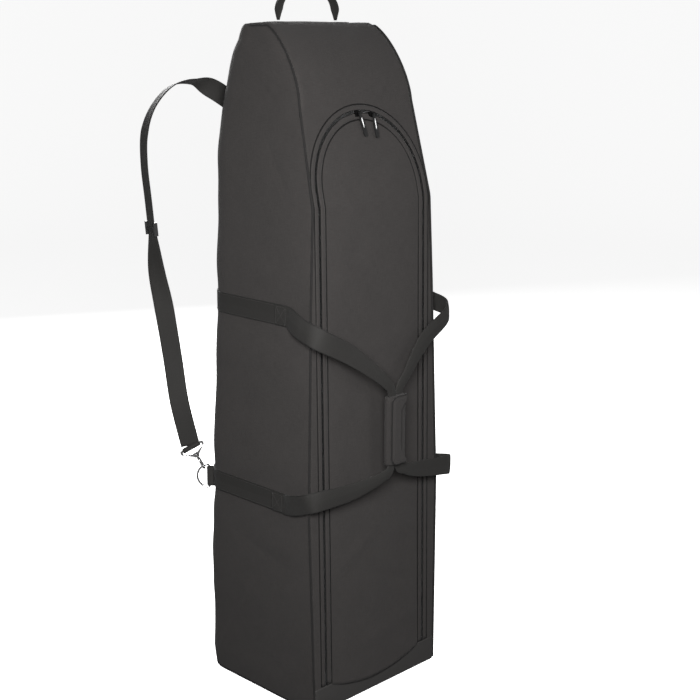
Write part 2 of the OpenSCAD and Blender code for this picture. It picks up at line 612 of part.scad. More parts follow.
// The strap's line, from its top buckle over the arc and down to its lower buckle.
strap_top = bar_at(upper_ring_at, upper_turn, upper_lift) + 4 * heading(upper_turn, upper_lift);
strap_end = bar_at(lower_ring_at, corner_turn, lower_lift) + 4 * heading(corner_turn, lower_lift);
strap_points = [strap_top, [-70, 166, case_h - 148], [-115, 168, case_h - 122],
    [-152, 180, case_h - 107], [-188, 202, case_h - 114], [-214, 226, case_h - 150],
    [-228, 240, case_h - 200], [-230, 242, case_h - 260], [-226, 238, case_h - 330],
    [-222, 234, case_h - 400], [-218, 230, case_h - 470], [-209, 220, case_h - 545],
    [-200, 209, case_h - 645], strap_end + [-14, 14, 90], strap_end];
glide_part = 9;      // the strap point at the tri-glide's lowest place
edge_on = [-0.95, 0.29, 0];
face_on = [-0.707, -0.707, 0];
strap_normals = [[0.2, 1, 0], [0, 1, 0.2], [-0.3, 0.8, 0.5], [-0.4, 0.5, 0.9], [-0.7, 0.5, 0.5],
    [-0.85, 0.45, 0.2], edge_on, edge_on, edge_on, edge_on, [-0.95, -0.3, 0], face_on, face_on,
    face_on, face_on];
smooth = 4;
// The strap leaves each buckle square to its bar for a short way before it bends.
top_lead = 6;
low_lead = 14;
strap_line = let (c = curve(strap_points, smooth), n = len(c)) concat(
    [c[0], c[0] + top_lead * heading(upper_turn, upper_lift)], [for (i = [1:n - 2]) c[i]],
    [c[n - 1] + low_lead * heading(corner_turn, lower_lift), c[n - 1]]);
strap_faces = let (m = mixed(strap_normals, smooth)) concat([m[0]], m, [m[len(m) - 1]]);
module strap_part(first, last, lift)
    ribbon([for (i = [first:last]) strap_line[i]], [for (i = [first:last]) unit(strap_faces[i])],
        [for (i = [first:last]) web_w - 2], web_t, lift);
// The webbing's turn round a buckle's bar.
bar_turn_r = wire_r * 1.55;
module bar_turn() translate([0, 0, pin_l + buckle_l]) rotate([0, 90, 0]) difference() {
    cylinder(h = web_w - 2, r = bar_turn_r + web_t, center = true, $fn = 48);
    cylinder(h = web_w, r = bar_turn_r, center = true, $fn = 48);
}
module strap_webbing() color(WEBBING) {
    strap_part(0, len(strap_line) - 1, 0);
    at_hook(lower_ring_at, corner_turn, lower_lift) bar_turn();
    at_hook(upper_ring_at, upper_turn, upper_lift) bar_turn();
}
loop_gap = 1;        // between the strap and its doubled end
module strap_loop_webbing() color(WEBBING)
    strap_part(glide_part * smooth + 1, len(strap_line) - 2, -web_t - loop_gap);

// Slides on the straight part of the strap. Its end bars lie behind the webbing and its middle
// bar in front.
glide_dir = unit(strap_points[glide_part - 1] - strap_points[glide_part]);
glide_turn = atan2(edge_on[1], edge_on[0]);
module tri_glide() color(PLASTIC)
    translate(strap_points[glide_part] + 14 * glide_dir)
        rotate([0, acos(glide_dir[2]), atan2(glide_dir[1], glide_dir[0])])
            rotate([0, 0, glide_turn - atan2(glide_dir[1], glide_dir[0])]) {
                half = web_w / 2 + 1;
                play = web_t / 2 + 0.5;
                for (side = [-1, 1]) translate([-4, side * (half + 2) - 2, -13]) cube([8, 4, 26]);
                for (end = [-1, 1]) translate([-play - 2.6, -half - 2, end * 11 - 2]) cube([2.6, 2 * half + 4, 4]);
                translate([play, -half - 2, -2.5]) cube([2.6, 2 * half + 4, 5]);
            }

base_panel();
base_boot();
base_board();
left_side_panel();
right_side_panel();
back_panel();
top_cap();
hood_panel();
hood_foam();
left_border();
right_border();
left_piping();
right_piping();
zip_frame_tape();
zip_frame_coil();
door_lower();
zip_lower_coil();
zip_bottom_stops();
door_upper();
zip_upper_coil();
left_zip_slider();
right_zip_slider();
left_zip_pull();
right_zip_pull();
upper_band();
lower_band();
left_handle_webbing();
right_handle_webbing();
grip_wrap();
grip_flap();
top_handle_patches();
top_handle_webbing();
top_handle_grip();
lower_ring_tab();
upper_ring_tab();
lower_d_ring();
upper_d_ring();
strap_webbing();
strap_loop_webbing();
tri_glide();
lower_strap_buckle();
upper_strap_buckle();
lower_hook();
upper_hook();
lower_hook_gate();
upper_hook_gate();
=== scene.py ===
import math

import bpy
import numpy as np
from bpy.props import FloatProperty, FloatVectorProperty, IntProperty, PointerProperty
from mathutils import Matrix, Vector


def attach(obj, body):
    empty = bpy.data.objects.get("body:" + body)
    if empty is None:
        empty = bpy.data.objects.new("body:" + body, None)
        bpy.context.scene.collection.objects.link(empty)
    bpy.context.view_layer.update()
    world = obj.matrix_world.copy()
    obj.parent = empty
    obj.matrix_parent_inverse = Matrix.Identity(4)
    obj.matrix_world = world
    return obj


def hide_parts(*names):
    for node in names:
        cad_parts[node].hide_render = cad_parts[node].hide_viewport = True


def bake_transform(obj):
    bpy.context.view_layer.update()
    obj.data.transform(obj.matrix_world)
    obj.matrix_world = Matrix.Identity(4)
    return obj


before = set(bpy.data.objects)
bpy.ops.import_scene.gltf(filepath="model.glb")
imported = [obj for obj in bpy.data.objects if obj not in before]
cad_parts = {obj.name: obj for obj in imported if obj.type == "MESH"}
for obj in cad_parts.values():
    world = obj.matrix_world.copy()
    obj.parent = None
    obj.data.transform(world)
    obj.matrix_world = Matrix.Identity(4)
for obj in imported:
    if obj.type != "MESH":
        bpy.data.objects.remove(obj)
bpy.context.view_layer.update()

bl_info = {
    "name": "Golf travel case",
    "version": (1, 0, 0),
    "blender": (4, 5, 0),
    "location": "3D View > Sidebar > Travel case",
    "description": "Builds a soft golf travel case round its fixed frame",
    "category": "Add Mesh",
}

UV_NAME = "cloth"


# ---- settings ----
def length(name, description, default):
    return FloatProperty(name=name, description=description, default=default, unit="LENGTH", subtype="DISTANCE",
                         precision=4)


def colour(name, description, default):
    return FloatVectorProperty(name=name, description=description, default=default, subtype="COLOR", size=3,
                               min=0.0, max=1.0)


class CaseSizes(bpy.types.PropertyGroup):
    height: length("Height", "Top of the case over the floor", 1.290)
    base_width: length("Base width", "Width at the floor", 0.340)
    belly_width: length("Belly width", "Width at the fullest level", 0.354)
    belly_z: length("Belly level", "Height of the fullest level", 0.400)
    chest_width: length("Chest width", "Width at the chest", 0.326)
    chest_z: length("Chest level", "Height of the chest", 0.800)
    shoulder_width: length("Shoulder width", "Width where the door's arch springs", 0.308)
    top_width: length("Top width", "Width at the top", 0.276)
    depth: length("Depth", "Depth at the floor", 0.330)
    back_lean: length("Back lean", "How far the back comes forward by its middle", 0.020)
    back_lean_z: length("Back lean level", "Height where the back stops leaning", 0.600)
    back_round: length("Back rounding", "How far the top of the back comes forward", 0.087)
    back_round_height: length("Back rounding height", "Height of the back's rounded top", 0.250)
    corner: length("Rear corner", "Radius of the rear corners", 0.060)
    hood_height: length("Hood height", "Height of the hood's curve", 0.140)
    hood_reach: length("Hood reach", "Depth of the hood's curve", 0.102)
    lean_height: length("Chest lean height", "Height of the leaning chest", 0.180)
    lean_reach: length("Chest lean reach", "How far the chest leans back", 0.043)
    front_lean: length("Front lean", "How far the front leans back below the chest", 0.019)
    door_radius: length("Door radius", "Radius of the door's arch, to the zip's middle", 0.139)
    arch_drop: length("Arch drop", "From the hood's curve down to the arch's top", 0.017)
    fold_z: length("Fold level", "Height of the door's fold", 0.830)
    boot_height: length("Boot height", "Height of the coated strip at the floor", 0.050)
    boot_sag: length("Boot sag", "How far the cloth sags over the coated strip", 0.024)
    zip_gap: length("Zip gap", "From the zip's middle to the cloth", 0.005)
    cloth: length("Cloth thickness", "Thickness of the sewn walls", 0.003)
    padding: length("Padding", "How far the padded walls swell between seams", 0.0045)


class WebbingSizes(bpy.types.PropertyGroup):
    width: length("Webbing width", "Width of the bands and handles", 0.040)
    thickness: length("Webbing thickness", "Thickness of all webbing", 0.0022)
    lower_z: length("Lower band", "Height of the lower band", 0.412)
    upper_z: length("Upper band", "Height of the upper band", 0.770)
    band_end: length("Band end", "How far forward the bands end", 0.090)
    wrap_x: length("Wrap place", "Sideways place of the grip wrap", 0.015)
    wrap_y: length("Wrap distance", "Place of the grip wrap in front", -0.195)
    wrap_z: length("Wrap level", "Height of the middle of the grip wrap", 0.540)
    wrap_height: length("Wrap height", "Height of the grip wrap", 0.135)
    wrap_width: length("Wrap width", "Width of the grip wrap", 0.052)
    wrap_depth: length("Wrap depth", "Thickness of the grip wrap", 0.020)
    handle_y: length("Top handle place", "Depth of the top handle", 0.028)
    handle_span: length("Top handle span", "Distance between the top handle's ends", 0.150)
    handle_rise: length("Top handle rise", "Height of the top handle", 0.056)
    handle_pivot: length("Top handle pivot", "Height the top handle turns about", 1.2965)
    stitch: length("Stitch", "Length of one stitch", 0.0028)
    stitch_step: length("Stitch step", "From one stitch to the next", 0.0040)
    tooth_step: length("Tooth step", "From one zip tooth to the next", 0.0026)
    smooth: IntProperty(name="Smoothness", description="Points along each piece of a curve",
                        default=10, min=3, max=24)


class CaseColours(bpy.types.PropertyGroup):
    fabric: colour("Fabric", "Body fabric", (0.0330, 0.0303, 0.0293))
    # The back colour is the body fabric made darker: painted shade for the rear, which is turned away from the
    # lights. The inside lining uses it too.
    back: colour("Back fabric", "Fabric of the back", (0.0270, 0.0250, 0.0243))
    coated: colour("Coated fabric", "Strip at the floor", (0.034, 0.0325, 0.0315))
    piping: colour("Piping", "Piping and bindings", (0.014, 0.0133, 0.013))
    # The seam colour is painted shade: near black, for the cords laid in the gaps beside the zip, where shadow
    # falls.
    seam: colour("Seam", "Dark binding beside the zip", (0.007, 0.0067, 0.0065))
    webbing: colour("Webbing", "Bands, handles and strap", (0.0190, 0.0182, 0.0172))
    wrap: colour("Wrap", "Grip wrap and top grip", (0.030, 0.0278, 0.0270))
    coil: colour("Zip coil", "Zip teeth", (0.006, 0.006, 0.006))
    plastic: colour("Plastic", "Moulded pieces", (0.006, 0.006, 0.006))
    metal: colour("Metal", "Bright hardware", (0.78, 0.78, 0.79))
    thread: colour("Thread", "Stitches", (0.028, 0.0265, 0.0255))
    mark: colour("Mark", "Pale lines on the zip pulls", (0.80, 0.80, 0.80))


# Soft folds in the cloth: place (across, up), angle, reach, width and height of each.
SIDE_FOLDS = (
    (0.200, 0.160, 2.20, 0.070, 0.006, 0.0016),
    (0.130, 0.300, 0.25, 0.090, 0.010, -0.0016),
    (0.160, 0.460, -0.35, 0.090, 0.012, 0.0018),
    (0.090, 0.720, 0.30, 0.080, 0.011, -0.0016),
    (0.140, 0.830, -0.25, 0.080, 0.010, 0.0016),
    (0.070, 1.020, 1.20, 0.060, 0.009, -0.0014),
    (0.060, 0.080, 0.15, 0.080, 0.010, 0.0014),
)
FRONT_FOLDS = (
    (-0.060, 0.300, 0.55, 0.090, 0.012, 0.0016),
    (0.050, 0.220, -0.40, 0.090, 0.013, -0.0016),
    (0.030, 0.700, 0.20, 0.070, 0.012, 0.0014),
    (-0.050, 0.880, -0.30, 0.070, 0.011, -0.0014),
    (0.060, 1.020, 0.70, 0.060, 0.011, 0.0012),
    (0.020, 0.120, 0.10, 0.100, 0.010, 0.0018),
)


# ---- the case's shape ----
class Shape:
    """The body's surface, in metres.

    Half width w(z) is piecewise linear. The front leans a little, then more, then follows
    1 - (1 - t^1.5)^(1/1.5) over the hood. The back leans forward and ends in a quarter ellipse.
    """

    def __init__(self, s):
        self.s = s
        self.hood_z = s.height - s.hood_height
        self.lean_z = self.hood_z - s.lean_height
        self.spring_z = self.hood_z - s.arch_drop - s.door_radius
        self.top_back = s.depth / 2 - s.back_lean - s.back_round
        turn = np.linspace(0, math.pi / 2, 240)
        upright = np.linspace(0, self.hood_z, 700)
        z = np.concatenate([upright, self.hood_z + s.hood_height * np.sin(turn[1:])])
        y = self.front_y(z)
        flat = np.linspace(y[-1], self.top_back, 40)[1:]
        self.z = np.concatenate([z, np.full(flat.shape, s.height)])
        self.y = np.concatenate([y, flat])
        self.run = np.concatenate([[0], np.cumsum(np.hypot(np.diff(self.y), np.diff(self.z)))])

    def half_width(self, z):
        s = self.s
        levels = [0, s.belly_z, min(s.chest_z, self.spring_z - 0.12), self.spring_z, s.height]
        widths = [s.base_width, s.belly_width, s.chest_width, s.shoulder_width, s.top_width]
        return np.interp(z, levels, widths) / 2

    def front_y(self, z):
        s = self.s
        lean = np.clip((z - self.lean_z) / s.lean_height, 0, 1)
        t = np.clip((z - self.hood_z) / s.hood_height, 0, 1)
        hood = 1 - (1 - t ** 1.5) ** (1 / 1.5)
        low = s.front_lean * np.clip(z / self.lean_z, 0, 1)
        return -s.depth / 2 + low + lean * s.lean_reach + hood * s.hood_reach

    def back_y(self, z):
        s = self.s
        t = np.clip((z - s.height + s.back_round_height) / s.back_round_height, 0, 1)
        lean = s.back_lean * np.clip(z / s.back_lean_z, 0, 1)
        return s.depth / 2 - lean - s.back_round * (1 - np.sqrt(1 - t ** 2))

    def corner(self, z):
        return np.minimum(self.s.corner, 0.42 * (self.back_y(z) - self.front_y(z)))

    def run_at(self, z):
        """Distance up the front at a height below the ridge."""
        return np.interp(z, self.z[:900], self.run[:900])

    def front(self, x, run, out=0.0):
        """Points P = (x, y(run), z(run)) + out * n, with n the front's outward normal."""
        y = np.interp(run, self.run, self.y)
        z = np.interp(run, self.run, self.z)
        step = 0.002
        dy = np.interp(run + step, self.run, self.y) - np.interp(run - step, self.run, self.y)
        dz = np.interp(run + step, self.run, self.z) - np.interp(run - step, self.run, self.z)
        size = np.maximum(np.hypot(dy, dz), 1e-9)
        return np.stack([x + 0 * y, y - out * dz / size, z + out * dy / size], -1)

    def on_front(self, x, z, out=0.0):
        return self.front(x, self.run_at(z), out)

    def outline(self, z, share, out):
        """Left half of the outline at height z. share 0 is the front corner, 1 the back seam.

        The side wall takes the first part of share and the rear corner's quarter circle the rest.
        """
        s_wall = 0.62
        w, b, f, r = self.half_width(z), self.back_y(z), self.front_y(z), self.corner(z)
        along = np.clip(share / s_wall, 0, 1)
        turn = np.clip((share - s_wall) / (1 - s_wall), 0, 1) * math.pi / 2
        x = -w + r - (r + out) * np.cos(turn)
        y = np.where(share < s_wall, f + (b - r - f) * along, b - r + (r + out) * np.sin(turn))
        return np.stack([x, y, z + 0 * x], -1)

    def wall_length(self, z, share):
        """Distance round the outline at height z, for the cloth's own coordinates."""
        s_wall = 0.62
        r = self.corner(z)
        side = self.back_y(z) - r - self.front_y(z)
        arc = np.clip((share - s_wall) / (1 - s_wall), 0, 1) * r * math.pi / 2
        return side * np.clip(share / s_wall, 0, 1) + arc


def ripple(a, b, seed):
    """Soft uneven waves: the sum over k of sin(p_k a + q_k b + r_k) / k, scaled to about -1..1."""
    source = np.random.default_rng(seed)
    total = np.zeros(np.broadcast(a, b).shape)
    for k in range(1, 8):
        p, q, r = source.uniform(-1, 1, 3) * (26, 14, 6.3)
        total = total + np.sin(p * k ** 0.7 * a + q * k ** 0.7 * b + r) / k
    return total / 2


def creases(a, b, folds):
    """Soft folds: the sum of h * exp(-(d / width)^2) * exp(-(t / reach)^2) over the folds.

    d is the distance across a fold's line through (a0, b0) at an angle, and t the distance along it.
    """
    total = 0 * (a + b)
    for a0, b0, angle, reach, width, h in folds:
        c, v = math.cos(angle), math.sin(angle)
        t = (a - a0) * c + (b - b0) * v
        d = (b - b0) * c - (a - a0) * v
        total = total + h * np.exp(-(d / width) ** 2 - (t / reach) ** 2)
    return total


# ---- meshes ----
def link(name, mesh):
    obj = bpy.data.objects.new(name, mesh)
    bpy.context.scene.collection.objects.link(obj)
    return obj


def outward(vertices, faces, toward):
    """Turns the faces round if most of them look against toward(their middles)."""
    corners = vertices[np.array([f[:3] for f in faces])]
    normal = np.cross(corners[:, 1] - corners[:, 0], corners[:, 2] - corners[:, 0])
    facing = (normal * toward(corners.mean(1))).sum()
    return faces if facing >= 0 else faces[:, ::-1]


def from_axis(middles):
    """Away from the case's upright middle line."""
    away = middles.copy()
    away[:, 2] = np.maximum(0, middles[:, 2] - 1.15) * 2
    away[:, 1] -= 0.03
    return away


def cloth_mesh(name, points, flat, material, toward=from_axis):
    """A grid of points (rows, columns, 3) with cloth coordinates flat (rows, columns, 2)."""
    rows, cols = points.shape[:2]
    index = np.arange(rows * cols).reshape(rows, cols)
    faces = np.stack([index[:-1, :-1], index[:-1, 1:], index[1:, 1:], index[1:, :-1]], -1).reshape(-1, 4)
    vertices = points.reshape(-1, 3)
    faces = outward(vertices, faces, toward)
    mesh = bpy.data.meshes.new(name)
    mesh.from_pydata(vertices, [], faces)
    coordinates = flat.reshape(-1, 2)[faces.reshape(-1)]
    mesh.uv_layers.new(name=UV_NAME).data.foreach_set("uv", coordinates.reshape(-1).astype(np.float32))
    mesh.polygons.foreach_set("use_smooth", np.ones(len(faces), bool))
    mesh.materials.append(material)
    return link(name, mesh)


def tube_mesh(name, rings, flat, material, closed=False):
    """Rings of points (rows, around, 3), joined into a tube with flat ends; flat has around + 1 columns."""
    rows, around = rings.shape[:2]
    index = np.arange(rows * around).reshape(rows, around)
    if closed:
        index = np.concatenate([index, index[:1]])
    wrapped = np.concatenate([index, index[:, :1]], 1)
    faces = np.stack([wrapped[:-1, :-1], wrapped[:-1, 1:], wrapped[1:, 1:], wrapped[1:, :-1]], -1)
    faces = faces.reshape(-1, 4)
    at = np.arange(flat.shape[0] * (around + 1)).reshape(flat.shape[0], around + 1)
    corner = np.stack([at[:-1, :-1], at[:-1, 1:], at[1:, 1:], at[1:, :-1]], -1).reshape(-1, 4)
    vertices = rings.reshape(-1, 3)
    low, mid, high = (vertices[faces[:, k]] for k in (0, 1, 2))
    middle = rings.mean(1)[np.arange(len(faces)) // around % rows]
    facing = (np.cross(mid - low, high - low) * (low - middle)).sum()
    if facing < 0:
        faces, corner = faces[:, ::-1], corner[:, ::-1]
    mesh = bpy.data.meshes.new(name)
    caps = [] if closed else [index[0].tolist(), index[-1].tolist()]
    if caps:
        caps[0 if facing >= 0 else 1].reverse()
    mesh.from_pydata(vertices, [], faces.tolist() + caps)
    coordinates = flat.reshape(-1, 2)[corner.reshape(-1)]
    ends = np.zeros((sum(map(len, caps)), 2))
    coordinates = np.concatenate([coordinates, ends])
    mesh.uv_layers.new(name=UV_NAME).data.foreach_set("uv", coordinates.reshape(-1).astype(np.float32))
    smooth = np.ones(len(mesh.polygons), bool)
    smooth[len(faces):] = False
    mesh.polygons.foreach_set("use_smooth", smooth)
    mesh.materials.append(material)
    return link(name, mesh)


def scatter(name, places, sizes, material):
    """Many small six-sided beads.

    places is (origins, along, across, up); sizes is their length, width and height.
    """
    origin, along, across, up = places
    turn = np.arange(6) * math.pi / 3
    ring = np.stack([np.cos(turn), np.sin(turn)], -1) / 2
    long = np.array([-0.5, -0.34, 0.34, 0.5])
    shrink = np.array([0.45, 1, 1, 0.45])
    bead = np.concatenate([np.column_stack([np.full(6, a), ring * k]) for a, k in zip(long, shrink)])
    bead = bead * np.array(sizes)
    basis = np.stack([along, across, up], 1)
    vertices = (origin[:, None] + np.einsum("vk,nkj->nvj", bead, basis)).reshape(-1, 3)
    side = np.arange(6)
    after = (side + 1) % 6
    quads = np.concatenate([np.stack([side + 6 * k, after + 6 * k, after + 6 * k + 6, side + 6 * k + 6], -1)
                            for k in range(3)])
    ends = np.array([[0, 5, 4, 3], [0, 3, 2, 1], [18, 19, 20, 21], [18, 21, 22, 23]])
    block = np.concatenate([quads, ends])
    handed = np.sign(np.linalg.det(basis[0]))
    if handed < 0:
        block = block[:, ::-1]
    faces = (block[None] + 24 * np.arange(len(origin))[:, None, None]).reshape(-1, 4)
    mesh = bpy.data.meshes.new(name)
    mesh.from_pydata(vertices, [], faces)
    mesh.polygons.foreach_set("use_smooth", np.ones(len(faces), bool))
    mesh.materials.append(material)
    return link(name, mesh)


def walk(points, step):
    """Evenly spaced points along a line, with the direction at each."""
    run = np.concatenate([[0], np.cumsum(np.linalg.norm(np.diff(points, axis=0), axis=1))])
    at = np.arange(step / 2, run[-1], step)
    place = np.stack([np.interp(at, run, points[:, k]) for k in range(3)], -1)
    ahead = np.stack([np.interp(at + step / 4, run, points[:, k]) for k in range(3)], -1)
    behind = np.stack([np.interp(at - step / 4, run, points[:, k]) for k in range(3)], -1)
    return place, unit(ahead - behind), at


def unit(v):
    return v / np.maximum(np.linalg.norm(v, axis=-1, keepdims=True), 1e-9)


def stitches(name, lines, normals, sizes, step, material):
    """Stitches along each line; each stitch is a bead that lies along it, flat to the surface."""
    origin, along, across, up = [], [], [], []
    for line, normal in zip(lines, normals):
        place, direction, _ = walk(line, step)
        share = np.linspace(0, len(normal) - 1, len(place))
        n = np.stack([np.interp(share, np.arange(len(normal)), normal[:, k]) for k in range(3)], -1)
        side = unit(np.cross(n, direction))
        origin.append(place)
        along.append(direction)
        across.append(side)
        up.append(np.cross(direction, side))
    parts = [np.concatenate(v) for v in (origin, along, across, up)]
    return scatter(name, parts, sizes, material)


def solid(obj, thickness, offset=-1.0):
    made = obj.modifiers.new("Thickness", "SOLIDIFY")
    made.thickness = thickness
    made.offset = offset
    made.use_even_offset = True
    return obj


def spline(knots, n):
    """Points on the Catmull-Rom curve through the knots, n to a piece."""
    p = np.concatenate([knots[:1], knots, knots[-1:]])
    t = (np.arange(n) / n)[:, None]
    a, b, c, d = (p[k:len(p) - 3 + k, None] for k in range(4))
    curve = 0.5 * (2 * b + (c - a) * t + (2 * a - 5 * b + 4 * c - d) * t ** 2
                   + (3 * b - a - 3 * c + d) * t ** 3)
    return np.concatenate([curve.reshape(-1, p.shape[1]), knots[-1:]])


def mixed(knots, n):
    at = np.arange((len(knots) - 1) * n + 1) / n
    return np.stack([np.interp(at, np.arange(len(knots)), knots[:, k]) for k in range(knots.shape[1])], -1)


def webbing(name, points, normals, widths, thickness, material, lift=0.0, cup=0.0):
    """A woven strip swept along points.

    Cross-section at each point c: c + a w A + (lift + b t) N, where A is across the strip, N its
    face, w and t its width and thickness, and (a, b) runs round a flat rounded rectangle. cup
    bends the edges towards N by cup * (2 a)^2.
    """
    along = unit(np.gradient(points, axis=0))
    across = unit(np.cross(normals, along))
    face = np.cross(along, across)
    a = np.concatenate([np.linspace(-0.46, 0.46, 9), [0.492, 0.5, 0.492], np.linspace(0.46, -0.46, 9),
                        [-0.492, -0.5, -0.492]])
    b = np.concatenate([np.full(9, 0.5), [0.34, 0, -0.34], np.full(9, -0.5), [-0.34, 0, 0.34]])
    bend = cup * (2 * a) ** 2
    rings = (points[:, None] + (a * widths[:, None])[..., None] * across[:, None]
             + (lift + b * thickness + bend)[None, :, None] * face[:, None])
    run = np.concatenate([[0], np.cumsum(np.linalg.norm(np.diff(points, axis=0), axis=1))])
    u = np.concatenate([a, a[:1]])[None] * widths[:, None]
    flat = np.stack([u, np.broadcast_to(run[:, None], u.shape)], -1)
    return tube_mesh(name, rings, flat, material), run[-1]


def cord(name, points, radius, material, sides=10):
    """A round cord of one radius along points."""
    along = unit(np.gradient(points, axis=0))
    start = np.broadcast_to(np.array([0.31, 0.11, 0.05]), along.shape)
    first = unit(np.cross(along, start))
    second = np.cross(along, first)
    turn = np.arange(sides) * 2 * math.pi / sides
    rings = (points[:, None] + radius * np.cos(turn)[None, :, None] * first[:, None]
             + radius * np.sin(turn)[None, :, None] * second[:, None])
    run = np.concatenate([[0], np.cumsum(np.linalg.norm(np.diff(points, axis=0), axis=1))])
    u = np.broadcast_to(np.arange(sides + 1) * 2 * math.pi * radius / sides, (len(points), sides + 1))
    flat = np.stack([u, np.broadcast_to(run[:, None], u.shape)], -1)
    return tube_mesh(name, rings, flat, material)


# ---- materials ----
class Net:
    """A material's node tree."""

    def __init__(self, name):
        self.material = bpy.data.materials.new(name)
        self.material.use_nodes = True
        self.tree = self.material.node_tree
        self.shader = self.tree.nodes["Principled BSDF"]

    def node(self, kind, inputs=(), output=0, **settings):
        """Any node: its settings, its inputs by name or number, and one of its outputs."""
        made = self.tree.nodes.new(kind)
        for key, value in settings.items():
            setattr(made, key, value)
        for key, value in dict(inputs).items():
            self.feed(made.inputs[key], value)
        return Wire(self, made.outputs[output])

    def feed(self, socket, value):
        if isinstance(value, Wire):
            self.tree.links.new(value.socket, socket)
        else:
            socket.default_value = value

    def mix(self, share, a, b):
        """Colour a where share is 0, b where it is 1."""
        return self.node("ShaderNodeMix", {0: share, 6: a, 7: b}, output=2, data_type="RGBA")

    def set(self, **inputs):
        for key, value in inputs.items():
            self.feed(self.shader.inputs[key.replace("_", " ")], value)


class Wire:
    """A number in a node tree. Arithmetic on it makes Math nodes."""

    def __init__(self, net, socket):
        self.net = net
        self.socket = socket

    def math(self, operation, *others):
        return self.net.node("ShaderNodeMath", dict(enumerate((self,) + others)), operation=operation)

    def __add__(self, other):
        return self.math("ADD", other)

    def __mul__(self, other):
        return self.math("MULTIPLY", other)

    def __sub__(self, other):
        return self.math("SUBTRACT", other)

    def __truediv__(self, other):
        return self.math("DIVIDE", other)

    def __rsub__(self, other):
        return self * -1 + other

    def __neg__(self):
        return self * -1

    __radd__ = __add__
    __rmul__ = __mul__

    def sin(self):
        return self.math("SINE")

    def abs(self):
        return self.math("ABSOLUTE")

    def over(self, limit):
        return self.math("GREATER_THAN", limit)


def rgba(rgb, share=1.0):
    return tuple(min(1.0, c * share) for c in rgb) + (1.0,)


def cloth_axes(net):
    uv = net.node("ShaderNodeUVMap", uv_map=UV_NAME)
    split = net.tree.nodes.new("ShaderNodeSeparateXYZ")
    net.tree.links.new(uv.socket, split.inputs[0])
    return uv, Wire(net, split.outputs[0]), Wire(net, split.outputs[1])


def stretched_noise(net, vector, scale, detail):
    """Noise on cloth coordinates that runs in streaks; scale is (across, along) in cycles a metre."""
    mapped = net.node("ShaderNodeMapping", {"Vector": vector, "Scale": (scale[0], scale[1], 1.0)})
    return net.node("ShaderNodeTexNoise", {"Vector": mapped, "Scale": 1.0, "Detail": detail}, output=0,
                    noise_dimensions="2D")


def woven(name, rgb, thread=0.0011, slub=0.22, bump=0.5, sheen=0.05, rough=0.85):
    """Plain woven cloth: crossing threads raise it, and streaks along both threads tint it."""
    net = Net(name)
    uv, u, v = cloth_axes(net)
    turn = 2 * math.pi / thread
    weave = (u * turn).sin() * (v * turn).sin()
    warp = stretched_noise(net, uv, (900.0, 60.0), 2.0)
    weft = stretched_noise(net, uv, (60.0, 900.0), 2.0)
    soft = stretched_noise(net, uv, (22.0, 22.0), 3.0)
    streak = (warp + weft) * 0.5
    tint = streak * 1.6 - 0.3 + (soft - 0.5) * 0.35
    base = net.mix(tint, rgba(rgb, 1 - slub), rgba(rgb, 1 + slub))
    net.set(Base_Color=base)
    net.set(Roughness=rough + (soft - 0.5) * 0.12)
    height = weave * 0.35 + streak
    net.set(Normal=net.node("ShaderNodeBump", {"Strength": bump, "Distance": 0.0005, "Height": height}))
    net.set(Sheen_Weight=sheen, Sheen_Roughness=0.45)
    net.set(Specular_IOR_Level=0.15)
    return net.material


def ribbed(name, rgb, half, rib=0.0024, thread=0.0016):
    """Woven webbing: slanting ribs that turn at its middle, and a tight edge on each side."""
    net = Net(name)
    uv, u, v = cloth_axes(net)
    slant = (v + u.abs() * 0.8) * (2 * math.pi / rib)
    ribs = slant.sin() * 0.5 + (u * (2 * math.pi / thread)).sin() * 0.3
    edge = u.abs().over(half - 0.0022)
    fine = stretched_noise(net, uv, (1100.0, 240.0), 2.0)
    tint = fine * 0.7 + ribs * 0.22 + 0.12 - edge * 0.35
    net.set(Base_Color=net.mix(tint, rgba(rgb, 0.62), rgba(rgb, 1.55)))
    net.set(Roughness=fine * 0.2 + 0.62)
    height = ribs + fine * 0.5
    net.set(Normal=net.node("ShaderNodeBump", {"Strength": 0.55, "Distance": 0.0004, "Height": height}))
    net.set(Sheen_Weight=0.04, Sheen_Roughness=0.4)
    net.set(Specular_IOR_Level=0.2)
    return net.material


def moulded(name, rgb, rough=0.5, metallic=0.0, grain=900.0, bump=0.15, coat=0.0):
    """Moulded, painted or plated: a fine grain and a slow change of gloss."""
    net = Net(name)
    at = net.node("ShaderNodeTexCoord", output="Object")
    fine = net.node("ShaderNodeTexNoise", {"Vector": at, "Scale": grain, "Detail": 2.0})
    slow = net.node("ShaderNodeTexNoise", {"Vector": at, "Scale": 60.0, "Detail": 3.0})
    net.set(Base_Color=net.mix(slow, rgba(rgb, 0.88), rgba(rgb, 1.12)))
    net.set(Roughness=rough + (slow - 0.5) * 0.16)
    net.set(Normal=net.node("ShaderNodeBump", {"Strength": bump, "Distance": 0.0002, "Height": fine}))
    net.set(Metallic=metallic, Coat_Weight=coat)
    return net.material


def rubbed(name, rgb):
    """Foam, board and lining inside, seen only when the door is open."""
    net = Net(name)
    at = net.node("ShaderNodeTexCoord", output="Object")
    cells = net.node("ShaderNodeTexVoronoi", {"Vector": at, "Scale": 420.0})
    net.set(Base_Color=net.mix(cells, rgba(rgb, 0.8), rgba(rgb, 1.2)))
    net.set(Roughness=cells * 0.1 + 0.85)
    net.set(Normal=net.node("ShaderNodeBump", {"Strength": 0.3, "Distance": 0.0005, "Height": cells}))
    return net.material


